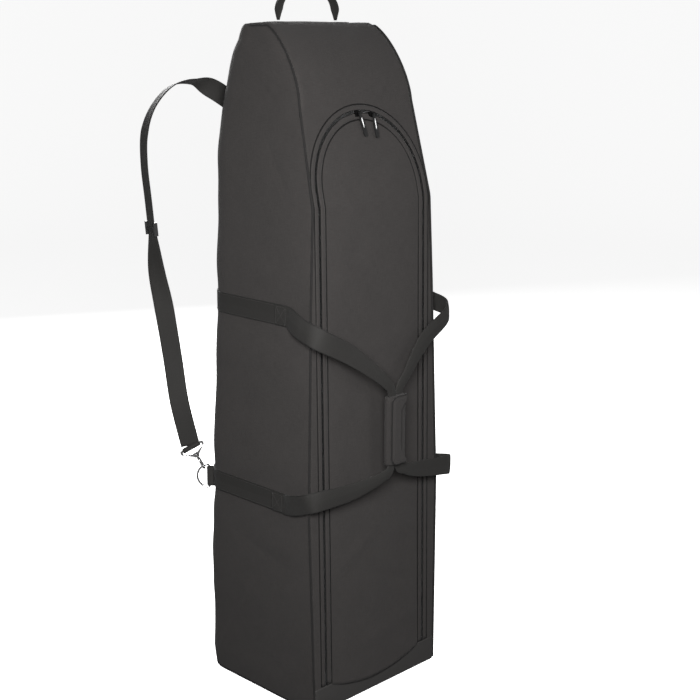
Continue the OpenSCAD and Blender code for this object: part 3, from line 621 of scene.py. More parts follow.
def materials():
    """All the case's materials by name, made once."""
    made = bpy.context.scene.get("case_materials")
    if made:
        return {key: bpy.data.materials[value] for key, value in made.items()}
    c = bpy.context.scene.case_colours
    half = bpy.context.scene.webbing_sizes.width / 2
    made = {
        "fabric": woven("body_cloth", c.fabric),
        # The back's cloth is the body cloth darkened as painted shade on the rear.
        "back": woven("back_painted_shade_cloth", c.back),
        "coated": woven("coated_cloth", c.coated, thread=0.0016, slub=0.10, bump=0.25, sheen=0.05,
                        rough=0.55),
        "piping": woven("piping_cloth", c.piping, thread=0.0009, bump=0.3),
        # Near-black cloth for the cords beside the zip: painted shade in the gaps.
        "seam": woven("gap_shade_cloth", c.seam, thread=0.0009, bump=0.2, sheen=0.0),
        "wrap": woven("wrap_cloth", c.wrap, thread=0.0010, bump=0.6),
        "webbing": ribbed("webbing_weave", c.webbing, half),
        "coil": moulded("zip_coil_nylon", c.coil, rough=0.38),
        "plastic": moulded("moulded_plastic", c.plastic, rough=0.42, bump=0.1),
        "rubber": moulded("moulded_rubber", c.plastic, rough=0.6, bump=0.25),
        "paint": moulded("black_paint", c.plastic, rough=0.28, metallic=0.6, bump=0.05),
        "metal": moulded("bright_plate", c.metal, rough=0.16, metallic=1.0, bump=0.03),
        "thread": moulded("thread_twist", c.thread, rough=0.7, grain=1800.0, bump=0.5),
        "mark": moulded("pale_mark", c.mark, rough=0.6, bump=0.1),
        "inside": rubbed("inside_lining", c.back),
    }
    bpy.context.scene["case_materials"] = {key: value.name for key, value in made.items()}
    return made


# ---- pieces ----
def levels_of(shape, low, count=150):
    """Heights that crowd together where the hood turns over."""
    straight = np.linspace(low, shape.hood_z, count)
    turn = np.linspace(0, math.pi / 2, 30)[1:]
    return np.concatenate([straight, shape.hood_z + shape.s.hood_height * np.sin(turn)])


def swell(shape, z, bands):
    """How much of the padding shows at a height: none under a band, at the floor or at the top."""
    full = np.ones(np.shape(z))
    for level in bands:
        away = np.maximum(0, np.abs(z - level) - 0.021)
        full = full * (1 - np.exp(-(away / 0.035) ** 2))
    ends = np.clip(z / 0.04, 0, 1) * np.clip((shape.s.height - z) / 0.05, 0, 1)
    return full * ends


def setup():
    scene = bpy.context.scene
    return scene.case_sizes, scene.webbing_sizes, Shape(scene.case_sizes), materials()


class CASE_OT_body(bpy.types.Operator):
    """Build the two padded sides and the padded back, with their seams and piping"""

    bl_idname = "case.body"
    bl_label = "Sides and back"

    def execute(self, context):
        s, w, shape, mat = setup()
        bands = (w.lower_z, w.upper_z)
        for name, side in (("left", -1), ("right", 1)):
            self.side(name, side, s, shape, mat, bands)
        self.back(s, shape, mat, bands)
        return {"FINISHED"}

    def side(self, name, side, s, shape, mat, bands):
        """P(z, u) = outline(z, u) pushed out by padding * (1 - |2u - 1|^5) * swell(z) and small ripples."""
        z = levels_of(shape, 0.0)[:, None]
        u = np.linspace(0, 1, 64)[None]
        crown = 1 - np.abs(2 * u - 1) ** 5
        wave = ripple(z, u * 0.35, 11 + side) * 0.0022
        folds = creases(shape.wall_length(z, u), z, SIDE_FOLDS)
        out = (s.padding * swell(shape, z, bands) + wave * np.clip(z / 0.05, 0, 1) + folds) * crown
        z_all = z + 0 * u
        points = shape.outline(z_all, u + 0 * z, np.zeros_like(out))
        ahead = shape.outline(z_all, u + 0 * z, np.zeros_like(out) + 0.001)
        wall = u + 0 * z < 0.62
        normal = np.where(wall[..., None], np.array([-1.0, 0, 0]), unit(ahead - points))
        points = points + out[..., None] * normal
        points[..., 0] *= -side
        flat = np.stack([shape.wall_length(z_all, u + 0 * z), z_all], -1)
        panel = solid(cloth_mesh(name + "_side", points, flat, mat["fabric"]), s.cloth)
        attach(panel, "case")
        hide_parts(name + "_side_panel")
        self.edge_piping(name, side, s, shape, mat)
        self.rear_seam(name, side, s, shape, mat)

    def edge_piping(self, name, side, s, shape, mat):
        z = levels_of(shape, 0.004)
        out = 0.0012
        run = shape.run_at(z)
        points = shape.front(side * (shape.half_width(z) + out), run, out)
        top = np.linspace(0, 1, 12)[1:, None]
        end = points[-1] + top * np.array([0, shape.top_back - shape.corner(s.height) - points[-1, 1], 0])
        points = np.concatenate([points, end])
        piping = cord(name + "_edge_piping", points, 0.0023, mat["piping"])
        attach(piping, "case")
        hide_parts(name + "_piping")
        inner = shape.front(side * (shape.half_width(z) - 0.0055), run, 0.0006)
        edge = side * shape.half_width(z)
        normal = shape.front(edge, run, 1.0) - shape.front(edge, run)
        rows = stitches(name + "_piping_stitches", [inner], [normal], (0.0026, 0.0007, 0.0006), 0.004,
                        mat["thread"])
        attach(rows, "case")

    def rear_seam(self, name, side, s, shape, mat):
        """A flat seam allowance that stands a little proud where side and back meet."""
        z = np.linspace(0.01, s.height - 0.004, 160)
        x = -side * (-shape.half_width(z) + shape.corner(z))
        points = np.stack([x, shape.back_y(z) + 0.0006, z], -1)
        seam = cord(name + "_rear_seam", points, 0.0013, mat["piping"], sides=8)
        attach(seam, "case")

    def back(self, s, shape, mat, bands):
        """P(z, u) = (u * (w - r), back(z) + padding * (1 - u^4) * swell(z), z), u from -1 to 1."""
        z = np.concatenate([np.linspace(0, s.height - s.back_round_height, 130),
                            s.height - s.back_round_height * (1 - np.sin(np.linspace(0, math.pi / 2, 50)[1:]))])
        z = z[:, None]
        u = np.linspace(-1, 1, 48)[None]
        half = shape.half_width(z) - shape.corner(z)
        out = s.padding * swell(shape, z, bands) * (1 - u ** 4) + ripple(z, u * 0.2, 5) * 0.0012 * (1 - u ** 4)
        x = half * u
        points = np.stack([x, shape.back_y(z) + out, z + 0 * u], -1)
        rise = np.concatenate([[0], np.cumsum(np.hypot(np.diff(z[:, 0]), np.diff(shape.back_y(z[:, 0]))))])
        flat = np.stack([x, rise[:, None] + 0 * u], -1)
        # The back panel takes the darker back cloth, which is painted shade.
        panel = solid(cloth_mesh("back_cloth_panel", points, flat, mat["back"]), s.cloth)
        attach(panel, "case")
        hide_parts("back_panel")


class CASE_OT_front(bpy.types.Operator):
    """Build the front's one cloth, from the floor round the door's arch and over the hood"""

    bl_idname = "case.front"
    bl_label = "Front and hood"

    def execute(self, context):
        """P(a, v) = (1 - v) arch(a) + v rim(a) in the flat (x, run) plane, then bent onto the front.

        arch runs up the left leg, over the arch and down the right leg. rim runs up the left
        edge, along the top and down the right edge, at the same level as the leg beside it.
        """
        s, _, shape, mat = setup()
        r = s.door_radius + s.zip_gap
        low = 0.004
        leg = np.linspace(low, shape.spring_z, 90)
        turn = np.linspace(math.pi, math.pi / 2, 70)
        x_in = np.concatenate([np.full(leg.shape, -r), r * np.cos(turn[1:])])
        z_in = np.concatenate([leg, shape.spring_z + r * np.sin(turn[1:])])
        run_in = shape.run_at(z_in)
        top_run = shape.run[-1]
        spring_run = shape.run_at(shape.spring_z)
        t = np.linspace(0, 1, len(turn))[1:]
        corner_share = 0.52
        rise = np.clip(t / corner_share, 0, 1)
        slide = np.clip((t - corner_share) / (1 - corner_share), 0, 1)
        run_out = np.concatenate([shape.run_at(leg), spring_run + (top_run - spring_run) * rise])
        z_out = np.interp(run_out, shape.run, shape.z)
        rim = shape.half_width(z_out) - 0.0004
        y_out = np.interp(run_out, shape.run, shape.y)
        corner = shape.corner(s.height)
        past = np.clip(y_out - (shape.top_back - corner), 0, corner)
        rounded = rim - corner + np.sqrt(np.maximum(corner ** 2 - past ** 2, 0))
        rim = np.where(z_out > s.height - 1e-4, rounded, rim)
        share = np.concatenate([np.ones(leg.shape), 1 - slide])
        x_out = -rim * share
        x_in = np.concatenate([x_in, -x_in[-2::-1]])
        run_in = np.concatenate([run_in, run_in[-2::-1]])
        x_out = np.concatenate([x_out, -x_out[-2::-1]])
        run_out = np.concatenate([run_out, run_out[-2::-1]])
        v = np.linspace(0, 1, 46)[None]
        x = x_in[:, None] * (1 - v) + x_out[:, None] * v
        run = run_in[:, None] * (1 - v) + run_out[:, None] * v
        z = np.interp(run, shape.run, shape.z)
        over = np.clip((z - shape.spring_z - 0.11) / 0.05, 0, 1)
        crown = np.sin(np.pi * np.clip(v, 0, 1)) ** 0.7
        out = crown * (0.0008 + over * 0.0040) + ripple(x, run, 3) * 0.0016 * crown * (0.4 + over)
        flat = np.stack([x, run], -1)
        panel = cloth_mesh("front_cloth", shape.front(x, run, out), flat, mat["fabric"], from_axis)
        solid(panel, s.cloth)
        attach(panel, "case")
        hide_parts("hood_panel", "left_border", "right_border", "top_cap")
        self.boot(s, shape, mat)
        return {"FINISHED"}

    def boot(self, s, shape, mat):
        """The coated strip: P(x, z) = front(x, z) + 0.0012 out, with a soft swell."""
        z = np.linspace(0.0005, s.boot_height, 16)[:, None]
        x = np.linspace(-1, 1, 60)[None] * (shape.half_width(z) - 0.0008)
        out = 0.0014 + 0.0016 * np.sin(np.pi * z / s.boot_height) + 0 * x
        flat = np.stack([x, z + 0 * x], -1)
        sheet = cloth_mesh("front_boot", shape.on_front(x, z + 0 * x, out), flat, mat["coated"])
        strip = solid(sheet, s.cloth)
        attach(strip, "case")
        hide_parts("base_boot")
        x = np.linspace(-0.165, 0.165, 60)
        line = shape.on_front(x, np.full(60, s.boot_height - 0.004), 0.0022)
        normal = np.tile([0.0, -1.0, 0.0], (60, 1))
        rows = stitches("boot_stitches", [line], [normal], (0.0028, 0.0008, 0.0006), 0.0042, mat["thread"])
        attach(rows, "case")


def door_half(shape, z, r):
    """Half width of an arch of radius r about the door's centre."""
    return np.where(z < shape.spring_z, r, np.sqrt(np.maximum(0, r ** 2 - (z - shape.spring_z) ** 2)))


def zip_line(shape, offset, low, out):
    """The zip's line moved outwards by offset: up the left leg, over the arch, down the right."""
    r = shape.s.door_radius + offset
    leg = np.linspace(low, shape.spring_z, 120)
    turn = np.linspace(math.pi, 0, 140)[1:-1]
    x = np.concatenate([np.full(leg.shape, -r), r * np.cos(turn), np.full(leg.shape, r)])
    z = np.concatenate([leg, shape.spring_z + r * np.sin(turn), leg[::-1]])
    return shape.on_front(x, z, out)


def line_normals(shape, line):
    run = shape.run_at(line[:, 2])
    return shape.front(line[:, 0], run, 1.0) - shape.front(line[:, 0], run)


def across_fold(piece):
    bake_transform(piece)


class CASE_OT_door(bpy.types.Operator):
    """Build the door's cloth and its sewn tape"""

    bl_idname = "case.door"
    bl_label = "Door"

    def execute(self, context):
        """P(z, u) = front(u * h(z), z), h being the arch's half width, with a faint swell."""
        s, w, shape, mat = setup()
        r = s.door_radius - s.zip_gap
        turn = np.linspace(0, math.pi / 2, 40)[1:]
        z = np.concatenate([np.linspace(s.boot_height + 0.001, shape.spring_z, 170),
                            shape.spring_z + r * np.sin(turn)])[:, None]
        u = np.linspace(-1, 1, 46)[None]
        x = door_half(shape, z, r) * u
        crown = (1 - u ** 6) * np.clip((shape.spring_z + r - z) / 0.03, 0, 1)
        out = crown * (0.0020 + ripple(x, z, 21) * 0.0018 + creases(x, z, FRONT_FOLDS))
        foot = np.clip((0.16 - z) / (0.16 - s.boot_height), 0, 1)
        z_all = z - s.boot_sag * (1 - u ** 2) * foot ** 1.5 + 0 * u
        out = out + 0.0040 * foot * (1 - u ** 4)
        flat = np.stack([x, shape.run_at(z_all)], -1)
        panel = solid(cloth_mesh("door_cloth", shape.on_front(x, z_all, out), flat, mat["fabric"]), s.cloth)
        across_fold(panel)
        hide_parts("door_lower", "door_upper")
        lines = [zip_line(shape, -0.0110, s.boot_height + 0.003, 0.0022)]
        rows = stitches("door_stitches", lines, [line_normals(shape, line) for line in lines],
                        (w.stitch, 0.0008, 0.0006), w.stitch_step, mat["thread"])
        across_fold(rows)
        tape = strip_along(shape, "door_zip_tape", -0.0135, -0.0030, s.boot_height + 0.002, 0.0019,
                           mat["fabric"])
        across_fold(tape)
        # A near-black cord just beyond the door's tape: painted shade standing in for the shadow in the gap.
        groove_shade = cord("door_zip_groove", zip_line(shape, -0.0146, s.boot_height + 0.002, 0.0006), 0.0015,
                      mat["seam"], sides=8)
        across_fold(groove_shade)
        return {"FINISHED"}



def strip_along(shape, name, near, far, low, out, material):
    """A sewn strip beside the zip, between two distances from its line, rounded at both edges."""
    share = np.array([0.0, 0.06, 0.2, 0.5, 0.8, 0.94, 1.0])
    rise = np.array([-1.6, -0.3, 0.0, 0.15, 0.0, -0.3, -1.6]) * 0.001
    lines = [zip_line(shape, near + (far - near) * a, low, out + b) for a, b in zip(share, rise)]
    points = np.stack(lines, 1)
    run = np.concatenate([[0], np.cumsum(np.linalg.norm(np.diff(points[:, 3], axis=0), axis=1))])
    u = share * abs(far - near)
    flat = np.stack(np.broadcast_arrays(u[None], run[:, None]), -1)
    return solid(cloth_mesh(name, points, flat, material), 0.001)


class CASE_OT_zip(bpy.types.Operator):
    """Build the zip's tape, its two rows of teeth and its stops, and finish its sliders and pulls"""

    bl_idname = "case.zip"
    bl_label = "Zip"

    def execute(self, context):
        s, w, shape, mat = setup()
        low = s.boot_height + 0.002
        outer = strip_along(shape, "frame_zip_tape", 0.0030, 0.0120, low, 0.0019, mat["fabric"])
        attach(outer, "case")
        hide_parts("zip_frame_tape")
        # A near-black cord just beyond the frame's tape: painted shade standing in for the shadow in the gap.
        groove_shade = cord("frame_zip_groove", zip_line(shape, 0.0131, low, 0.0006), 0.0013, mat["seam"], sides=8)
        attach(groove_shade, "case")
        lines = [zip_line(shape, 0.0100, low + 0.001, 0.0022)]
        rows = stitches("frame_zip_stitches", lines, [line_normals(shape, line) for line in lines],
                        (w.stitch, 0.0008, 0.0006), w.stitch_step, mat["thread"])
        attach(rows, "case")
        frame_row = self.teeth(shape, w, "frame_teeth", 0.0013, low, mat)
        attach(frame_row, "case")
        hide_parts("zip_frame_coil")
        door_row = self.teeth(shape, w, "door_teeth", -0.0013, low, mat)
        across_fold(door_row)
        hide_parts("zip_lower_coil", "zip_upper_coil")
        self.finish_pulls(mat)
        return {"FINISHED"}

    def teeth(self, shape, w, name, offset, low, mat):
        """One bead each tooth step, lying across the zip's line."""
        line = zip_line(shape, offset, low, 0.0004)
        place, along, _ = walk(line, w.tooth_step)
        up = unit(line_normals(shape, place))
        across = unit(np.cross(up, along))
        return scatter(name, (place, across, np.cross(up, across), up), (0.0030, 0.0016, 0.0020), mat["coil"])

    def finish_pulls(self, mat):
        """One pale line along each pull, set a hair over its face."""
        for node in ("left_zip_slider", "right_zip_slider"):
            finish(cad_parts[node], mat["paint"], 0.0006)
        finish(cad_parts["zip_bottom_stops"], mat["coil"], 0.0004)
        for side in ("left", "right"):
            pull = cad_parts[side + "_zip_pull"]
            finish(pull, mat["rubber"], 0.0006)
            points = np.array([tuple(v.co) for v in pull.data.vertices])
            middle = points.mean(0)
            spread = np.linalg.eigh(np.cov((points - middle).T))[1]
            along, across = spread[:, 2], spread[:, 1]
            along = along * (1 if along[2] < 0 else -1)
            up = np.cross(along, across)
            up = up * (1 if up[1] < 0 else -1)
            reach = ((points - middle) @ along).max()
            origin = (middle + along * (reach - 0.026) + up * 0.0014)[None]
            places = (origin, along[None], across[None], np.cross(along, across)[None])
            lines = scatter(side + "_pull_marks", places, (0.0190, 0.0022, 0.0008), mat["mark"])
            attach(lines, side + "_pull")


def finish(node, material, bevel):
    """A CAD node's finish: its material and softened edges."""
    node.data.materials.clear()
    node.data.materials.append(material)
    if bevel:
        soft = node.modifiers.new("Soft edges", "BEVEL")
        soft.width = bevel
        soft.segments = 2
        soft.limit_method = "ANGLE"
        soft.angle_limit = math.radians(40)


class CASE_OT_bands(bpy.types.Operator):
    """Build the two webbing bands that run round the back, and their stitching"""

    bl_idname = "case.bands"
    bl_label = "Bands"

    def execute(self, context):
        _, w, shape, mat = setup()
        for name, level in (("upper", w.upper_z), ("lower", w.lower_z)):
            path = self.path(shape, w, level, 0.0003 + w.thickness / 2)
            normals = self.path(shape, w, level, 1.0) - self.path(shape, w, level, 0.0)
            widths = np.full(len(path), w.width)
            band, _ = webbing(name + "_band_web", path, normals, widths, w.thickness, mat["webbing"])
            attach(band, "case")
            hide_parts(name + "_band")
            lift = self.path(shape, w, level, 0.0003 + w.thickness + 0.0001)
            edge = np.array([0, 0, w.width / 2 - 0.003])
            rows = stitches(name + "_band_stitches", [lift + edge, lift - edge], [normals, normals],
                            (w.stitch, 0.0009, 0.0006), w.stitch_step, mat["thread"])
            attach(rows, "case")
        return {"FINISHED"}

    def path(self, shape, w, level, out):
        """The outline at one height, moved out, from the left front end round the back to the right."""
        b, r, half = (float(v(level)) for v in (shape.back_y, shape.corner, shape.half_width))
        side = np.linspace(-w.band_end, b - r, 24)
        turn = np.linspace(math.pi, math.pi / 2, 20)[1:]
        left = np.concatenate([
            np.stack([np.full(24, -half - out), side], -1),
            np.stack([-half + r + (r + out) * np.cos(turn), b - r + (r + out) * np.sin(turn)], -1)])
        back = np.stack([np.linspace(-half + r, half - r, 24)[1:-1], np.full(22, b + out)], -1)
        right = left[::-1] * np.array([-1, 1])
        flat = np.concatenate([left, back, right])
        return np.column_stack([flat, np.full(len(flat), level)])


def handle_knots(shape, w, side, bulge):
    """The places one handle passes, from the upper band to the wrap and back to the lower band."""
    lay = 0.0006 + 1.5 * w.thickness
    front = -shape.s.depth / 2
    x_in, y_in = w.wrap_x + side * 0.011, w.wrap_y + side * 0.0016
    up, low = w.wrap_z + w.wrap_height / 2, w.wrap_z - w.wrap_height / 2
    wide = float(shape.half_width(w.upper_z))
    deep = float(shape.half_width(w.lower_z))
    middle = w.wrap_x / 2
    end = -w.band_end
    rise = 0.020 if side < 0 else 0.006
    points = [
        (side * (wide + lay), end + 0.030, w.upper_z), (side * (wide + lay), end, w.upper_z),
        (side * (wide + lay + 0.001), end - 0.008, w.upper_z - 0.001),
        (side * (wide + lay + 0.004 + bulge * 0.7), front + 0.030, w.upper_z - 0.014),
        (side * (wide - 0.004 + bulge), front - 0.012, w.upper_z - 0.030),
        (side * (wide - 0.066) + middle, front - 0.022, w.upper_z - 0.072),
        (x_in + side * 0.022, y_in, up + 0.034), (x_in, y_in, up + 0.003), (x_in, y_in, w.wrap_z),
        (x_in, y_in, low - 0.003), (x_in + side * 0.024, y_in, low - 0.020),
        (side * (deep - 0.080) + middle, front - 0.022, low - 0.034),
        (side * (deep - 0.004 + bulge), front - 0.014, (low - 0.034 + w.lower_z) / 2 - 0.008 + rise),
        (side * (deep + lay + 0.004 + bulge * 0.7), front + 0.030, w.lower_z + rise / 2),
        (side * (deep + lay + 0.001), end - 0.008, w.lower_z),
        (side * (deep + lay), end, w.lower_z), (side * (deep + lay), end + 0.030, w.lower_z)]
    flat, leaning, turning, facing = (side, 0, 0), (side, -0.5, 0), (side * 0.6, -1, 0), (0, -1, 0)
    normals = [flat, flat, flat, leaning, turning] + [facing] * 7 + [turning, leaning, flat, flat, flat]
    full, fold = w.width, 0.020
    widths = ([full] * 5 + [full - 0.004, fold + 0.002] + [fold] * 3
              + [fold + 0.002, full - 0.006] + [full] * 5)
    return np.array(points, float), np.array(normals, float), np.array(widths)[:, None]


class CASE_OT_handles(bpy.types.Operator):
    """Build the two webbing carry handles and the boxed stitching where they leave the bands"""

    bl_idname = "case.handles"
    bl_label = "Carry handles"

    def execute(self, context):
        _, w, shape, mat = setup()
        for name, side, bulge in (("left", -1, 0.007), ("right", 1, 0.026)):
            knots, normals, widths = handle_knots(shape, w, side, bulge)
            points = spline(knots, w.smooth)
            faces = mixed(normals, w.smooth)
            wide = mixed(widths, w.smooth)[:, 0]
            strap, _ = webbing(name + "_handle_web", points, faces, wide, w.thickness, mat["webbing"],
                               cup=-0.0012)
            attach(strap, "case")
            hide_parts(name + "_handle_webbing")
            self.boxes(name, side, shape, w, mat)
        return {"FINISHED"}

    def boxes(self, name, side, shape, w, mat):
        """A square of stitches with its two diagonals over each stitched end."""
        lines, normals = [], []
        for level in (w.upper_z, w.lower_z):
            x = side * (float(shape.half_width(level)) + 0.0008 + 2 * w.thickness)
            y0, y1 = -w.band_end + 0.002, -w.band_end + 0.028
            z0, z1 = level - w.width / 2 + 0.004, level + w.width / 2 - 0.004
            corners = [(y0, z0), (y1, z0), (y1, z1), (y0, z1)]
            pairs = [(0, 1), (1, 2), (2, 3), (3, 0), (0, 2), (1, 3)]
            lines += [np.array([(x,) + corners[a], (x,) + corners[b]]) for a, b in pairs]
            normals += [np.array([(side, 0, 0)] * 2, float)] * len(pairs)
        rows = stitches(name + "_box_stitches", lines, normals, (w.stitch, 0.0009, 0.0006), w.stitch_step,
                        mat["thread"])
        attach(rows, "case")


class CASE_OT_wrap(bpy.types.Operator):
    """Build the padded wrap round both handles, and its flap with a bound edge"""

    bl_idname = "case.wrap"
    bl_label = "Grip wrap"

    def execute(self, context):
        _, w, _, mat = setup()
        self.body(w, mat)
        self.flap(w, mat)
        return {"FINISHED"}

    def body(self, w, mat):
        """|x / a|^3 + |y / b|^3 = 1 at each height, drawn in and closed at both ends."""
        t = np.concatenate([np.linspace(-1, -0.96, 6), np.linspace(-0.95, 0.95, 50),
                            np.linspace(0.96, 1, 6)])[:, None]
        turn = (np.arange(48) * 2 * math.pi / 48)[None]
        draw = np.clip(1 - np.abs(t) ** 24, 0, 1) ** 0.5 * 0.12 + 0.88
        pinch = 1 - 0.03 * np.cos(t * 9) ** 2
        power = 2 / 3
        c, v = np.cos(turn), np.sin(turn)
        x = (w.wrap_width / 2) * np.sign(c) * np.abs(c) ** power * draw
        y = (w.wrap_depth / 2 - 0.0015) * np.sign(v) * np.abs(v) ** power * draw * pinch + 0.0012
        z = t * w.wrap_height / 2 + 0 * turn
        rings = np.stack([w.wrap_x + x, w.wrap_y + y, w.wrap_z + z], -1)
        around = np.linspace(0, 2 * (w.wrap_width + w.wrap_depth), 49)[None]
        flat = np.stack(np.broadcast_arrays(around, t * w.wrap_height / 2), -1)
        body = tube_mesh("wrap_pad", rings, flat, mat["wrap"])
        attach(body, "case")
        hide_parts("grip_wrap")

    def edge(self, w, inset):
        """Outline of the flap: straight at its hinge on the right, rounded on its free left side."""
        right = w.wrap_x + w.wrap_width / 2 - 0.001
        left = w.wrap_x - w.wrap_width / 2 + 0.008 + inset
        half = w.wrap_height / 2 - 0.001 - inset
        r = 0.013
        top = np.stack([np.linspace(right, left + r, 20), np.full(20, half)], -1)
        turn = np.linspace(math.pi / 2, math.pi, 14)[1:]
        arc = np.stack([left + r + r * np.cos(turn), half - r + r * np.sin(turn)], -1)
        upper = np.concatenate([top, arc])
        lower = upper[::-1] * np.array([1, -1])
        return np.concatenate([upper, lower])

    def bend(self, w, x, lift):
        """Depth of the flap's face at x: flat in front, curving back at the hinge and the free edge."""
        right = w.wrap_x + w.wrap_width / 2
        back = 0.008 * np.clip(1 - (right - x) / 0.008, 0, 1) ** 2
        free = 0.0012 * np.clip(1 - (x - w.wrap_x + w.wrap_width / 2 - 0.008) / 0.008, 0, 1) ** 2
        return w.wrap_y - w.wrap_depth / 2 - 0.0006 - lift + back + free

    def flap(self, w, mat):
        """P(e, q) lies between the flap's outline and its upright middle line: q edge(e) + (1 - q) mid(e)."""
        edge = self.edge(w, 0.0)
        q = np.concatenate([np.linspace(0, 0.9, 12), [0.95, 0.98, 1.0]])[None]
        mid = np.stack([np.full(len(edge), w.wrap_x + 0.004), edge[:, 1] * 0.6], -1)
        flat = edge[:, None] * q[..., None] + mid[:, None] * (1 - q[..., None])
        puff = 0.0016 * (1 - q ** 6)
        y = self.bend(w, flat[..., 0], puff)
        points = np.stack([flat[..., 0], y, w.wrap_z + flat[..., 1]], -1)
        ahead = lambda middles: np.tile([0.0, -1.0, 0.0], (len(middles), 1))
        cover = solid(cloth_mesh("wrap_cover", points, flat, mat["wrap"], ahead), 0.0016)
        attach(cover, "wrap_flap")
        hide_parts("grip_flap")
        rim = np.column_stack([edge[:, 0], self.bend(w, edge[:, 0], -0.0006), w.wrap_z + edge[:, 1]])
        binding = cord("wrap_binding", rim, 0.0014, mat["piping"], sides=8)
        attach(binding, "wrap_flap")
        inner = self.edge(w, 0.0045)
        line = np.column_stack([inner[:, 0], self.bend(w, inner[:, 0], 0.0014), w.wrap_z + inner[:, 1]])
        normal = np.tile([0.0, -1.0, 0.0], (len(line), 1))
        rows = stitches("wrap_stitches", [line], [normal], (0.0024, 0.0007, 0.0006), 0.0034, mat["thread"])
        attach(rows, "wrap_flap")


class CASE_OT_top_handle(bpy.types.Operator):
    """Build the top handle: webbing, the fabric roll sewn round its middle, and its patches"""

    bl_idname = "case.top_handle"
    bl_label = "Top handle"

    def execute(self, context):
        """The handle's line: x = h sign(cos) |cos|^0.8, z = pivot + rise sin^0.62."""
        s, w, _, mat = setup()
        turn = np.linspace(math.pi, 0, 90)
        c, v = np.cos(turn), np.sin(turn)
        x = w.handle_span / 2 * np.sign(c) * np.abs(c) ** 0.8
        z = w.handle_pivot + w.handle_rise * np.abs(v) ** 0.62
        line = np.stack([x, np.full(90, w.handle_y), z], -1)
        face = np.stack([x, 0 * x, z - w.handle_pivot + 0.030], -1)
        wide = 0.006 + np.clip((z - w.handle_pivot) / 0.02, 0, 1) * 0.016
        strap, _ = webbing("top_handle_web", line, face, wide, w.thickness, mat["webbing"], cup=-0.001)
        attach(strap, "carry_handle")
        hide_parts("top_handle_webbing")
        inner = np.abs(x) < w.handle_span * 0.38
        self.grip(line[inner], face[inner], mat)
        self.patches(s, w, mat)
        return {"FINISHED"}

    def grip(self, line, face, mat):
        """A flattened tube: across 13 mm cos, out 5 mm sin, that closes in at both ends."""
        along = unit(np.gradient(line, axis=0))
        across = unit(np.cross(face, along))
        out = np.cross(along, across)
        t = np.linspace(-1, 1, len(line))
        draw = 0.86 + 0.14 * np.clip(1 - np.abs(t) ** 20, 0, 1)
        turn = np.arange(28) * 2 * math.pi / 28
        rings = (line[:, None] + (0.013 * draw)[:, None, None] * np.cos(turn)[None, :, None] * across[:, None]
                 + (0.0052 * draw)[:, None, None] * np.sin(turn)[None, :, None] * out[:, None])
        run = np.linspace(0, 0.15, len(line))
        u = np.linspace(0, 0.06, 29)[None]
        flat = np.stack(np.broadcast_arrays(u, run[:, None]), -1)
        roll = tube_mesh("top_grip_roll", rings, flat, mat["wrap"])
        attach(roll, "carry_handle")
        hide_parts("top_handle_grip")

    def patches(self, s, w, mat):
        """Each end of the webbing, sewn flat on the top."""
        for name, side in (("left", -1), ("right", 1)):
            x = side * (w.handle_span / 2 + np.linspace(-0.008, 0.024, 24))
            z = np.full(24, s.height + 0.0022)
            line = np.stack([x, np.full(24, w.handle_y), z], -1)
            up = np.tile([0.0, 0.0, 1.0], (24, 1))
            patch, _ = webbing(name + "_top_patch", line, up, np.full(24, 0.026), w.thickness, mat["webbing"])
            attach(patch, "case")
            if side < 0:
                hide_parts("top_handle_patches")
            corners = [(x[2], -0.009), (x[-3], -0.009), (x[-3], 0.009), (x[2], 0.009)]
            pairs = [(0, 1), (1, 2), (2, 3), (3, 0), (0, 2), (1, 3)]
            place = [np.array([across, w.handle_y + back, s.height + 0.0036]) for across, back in corners]
            lines = [np.array([place[a], place[b]]) for a, b in pairs]
            rows = stitches(name + "_patch_stitches", lines, [up[:2]] * 6, (0.0024, 0.0008, 0.0006), 0.0034,
                            mat["thread"])
            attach(rows, "case")


def ring_frame(at, turn):
    """A D-ring's frame as a 4x4: its bar upright at a point, its loop towards turn."""
    return Matrix.Translation(at) @ Matrix.Rotation(math.radians(turn), 4, "Z")


def bar_frame(at, turn, lift, reach):
    """The frame of a buckle's bar: z along the strap, x along the bar."""
    lean = Matrix.Rotation(math.radians(90 - lift), 4, "Y")
    return ring_frame(at, turn) @ lean @ Matrix.Translation((0, 0, reach))


LOWER_RING = (-0.167238, 0.141958, 0.408)
UPPER_RING = (0.035, 0.152579, 1.085)
BAR_REACH = 0.0696
LOWER_AIM = (135, 60)
UPPER_AIM = (170, 25)


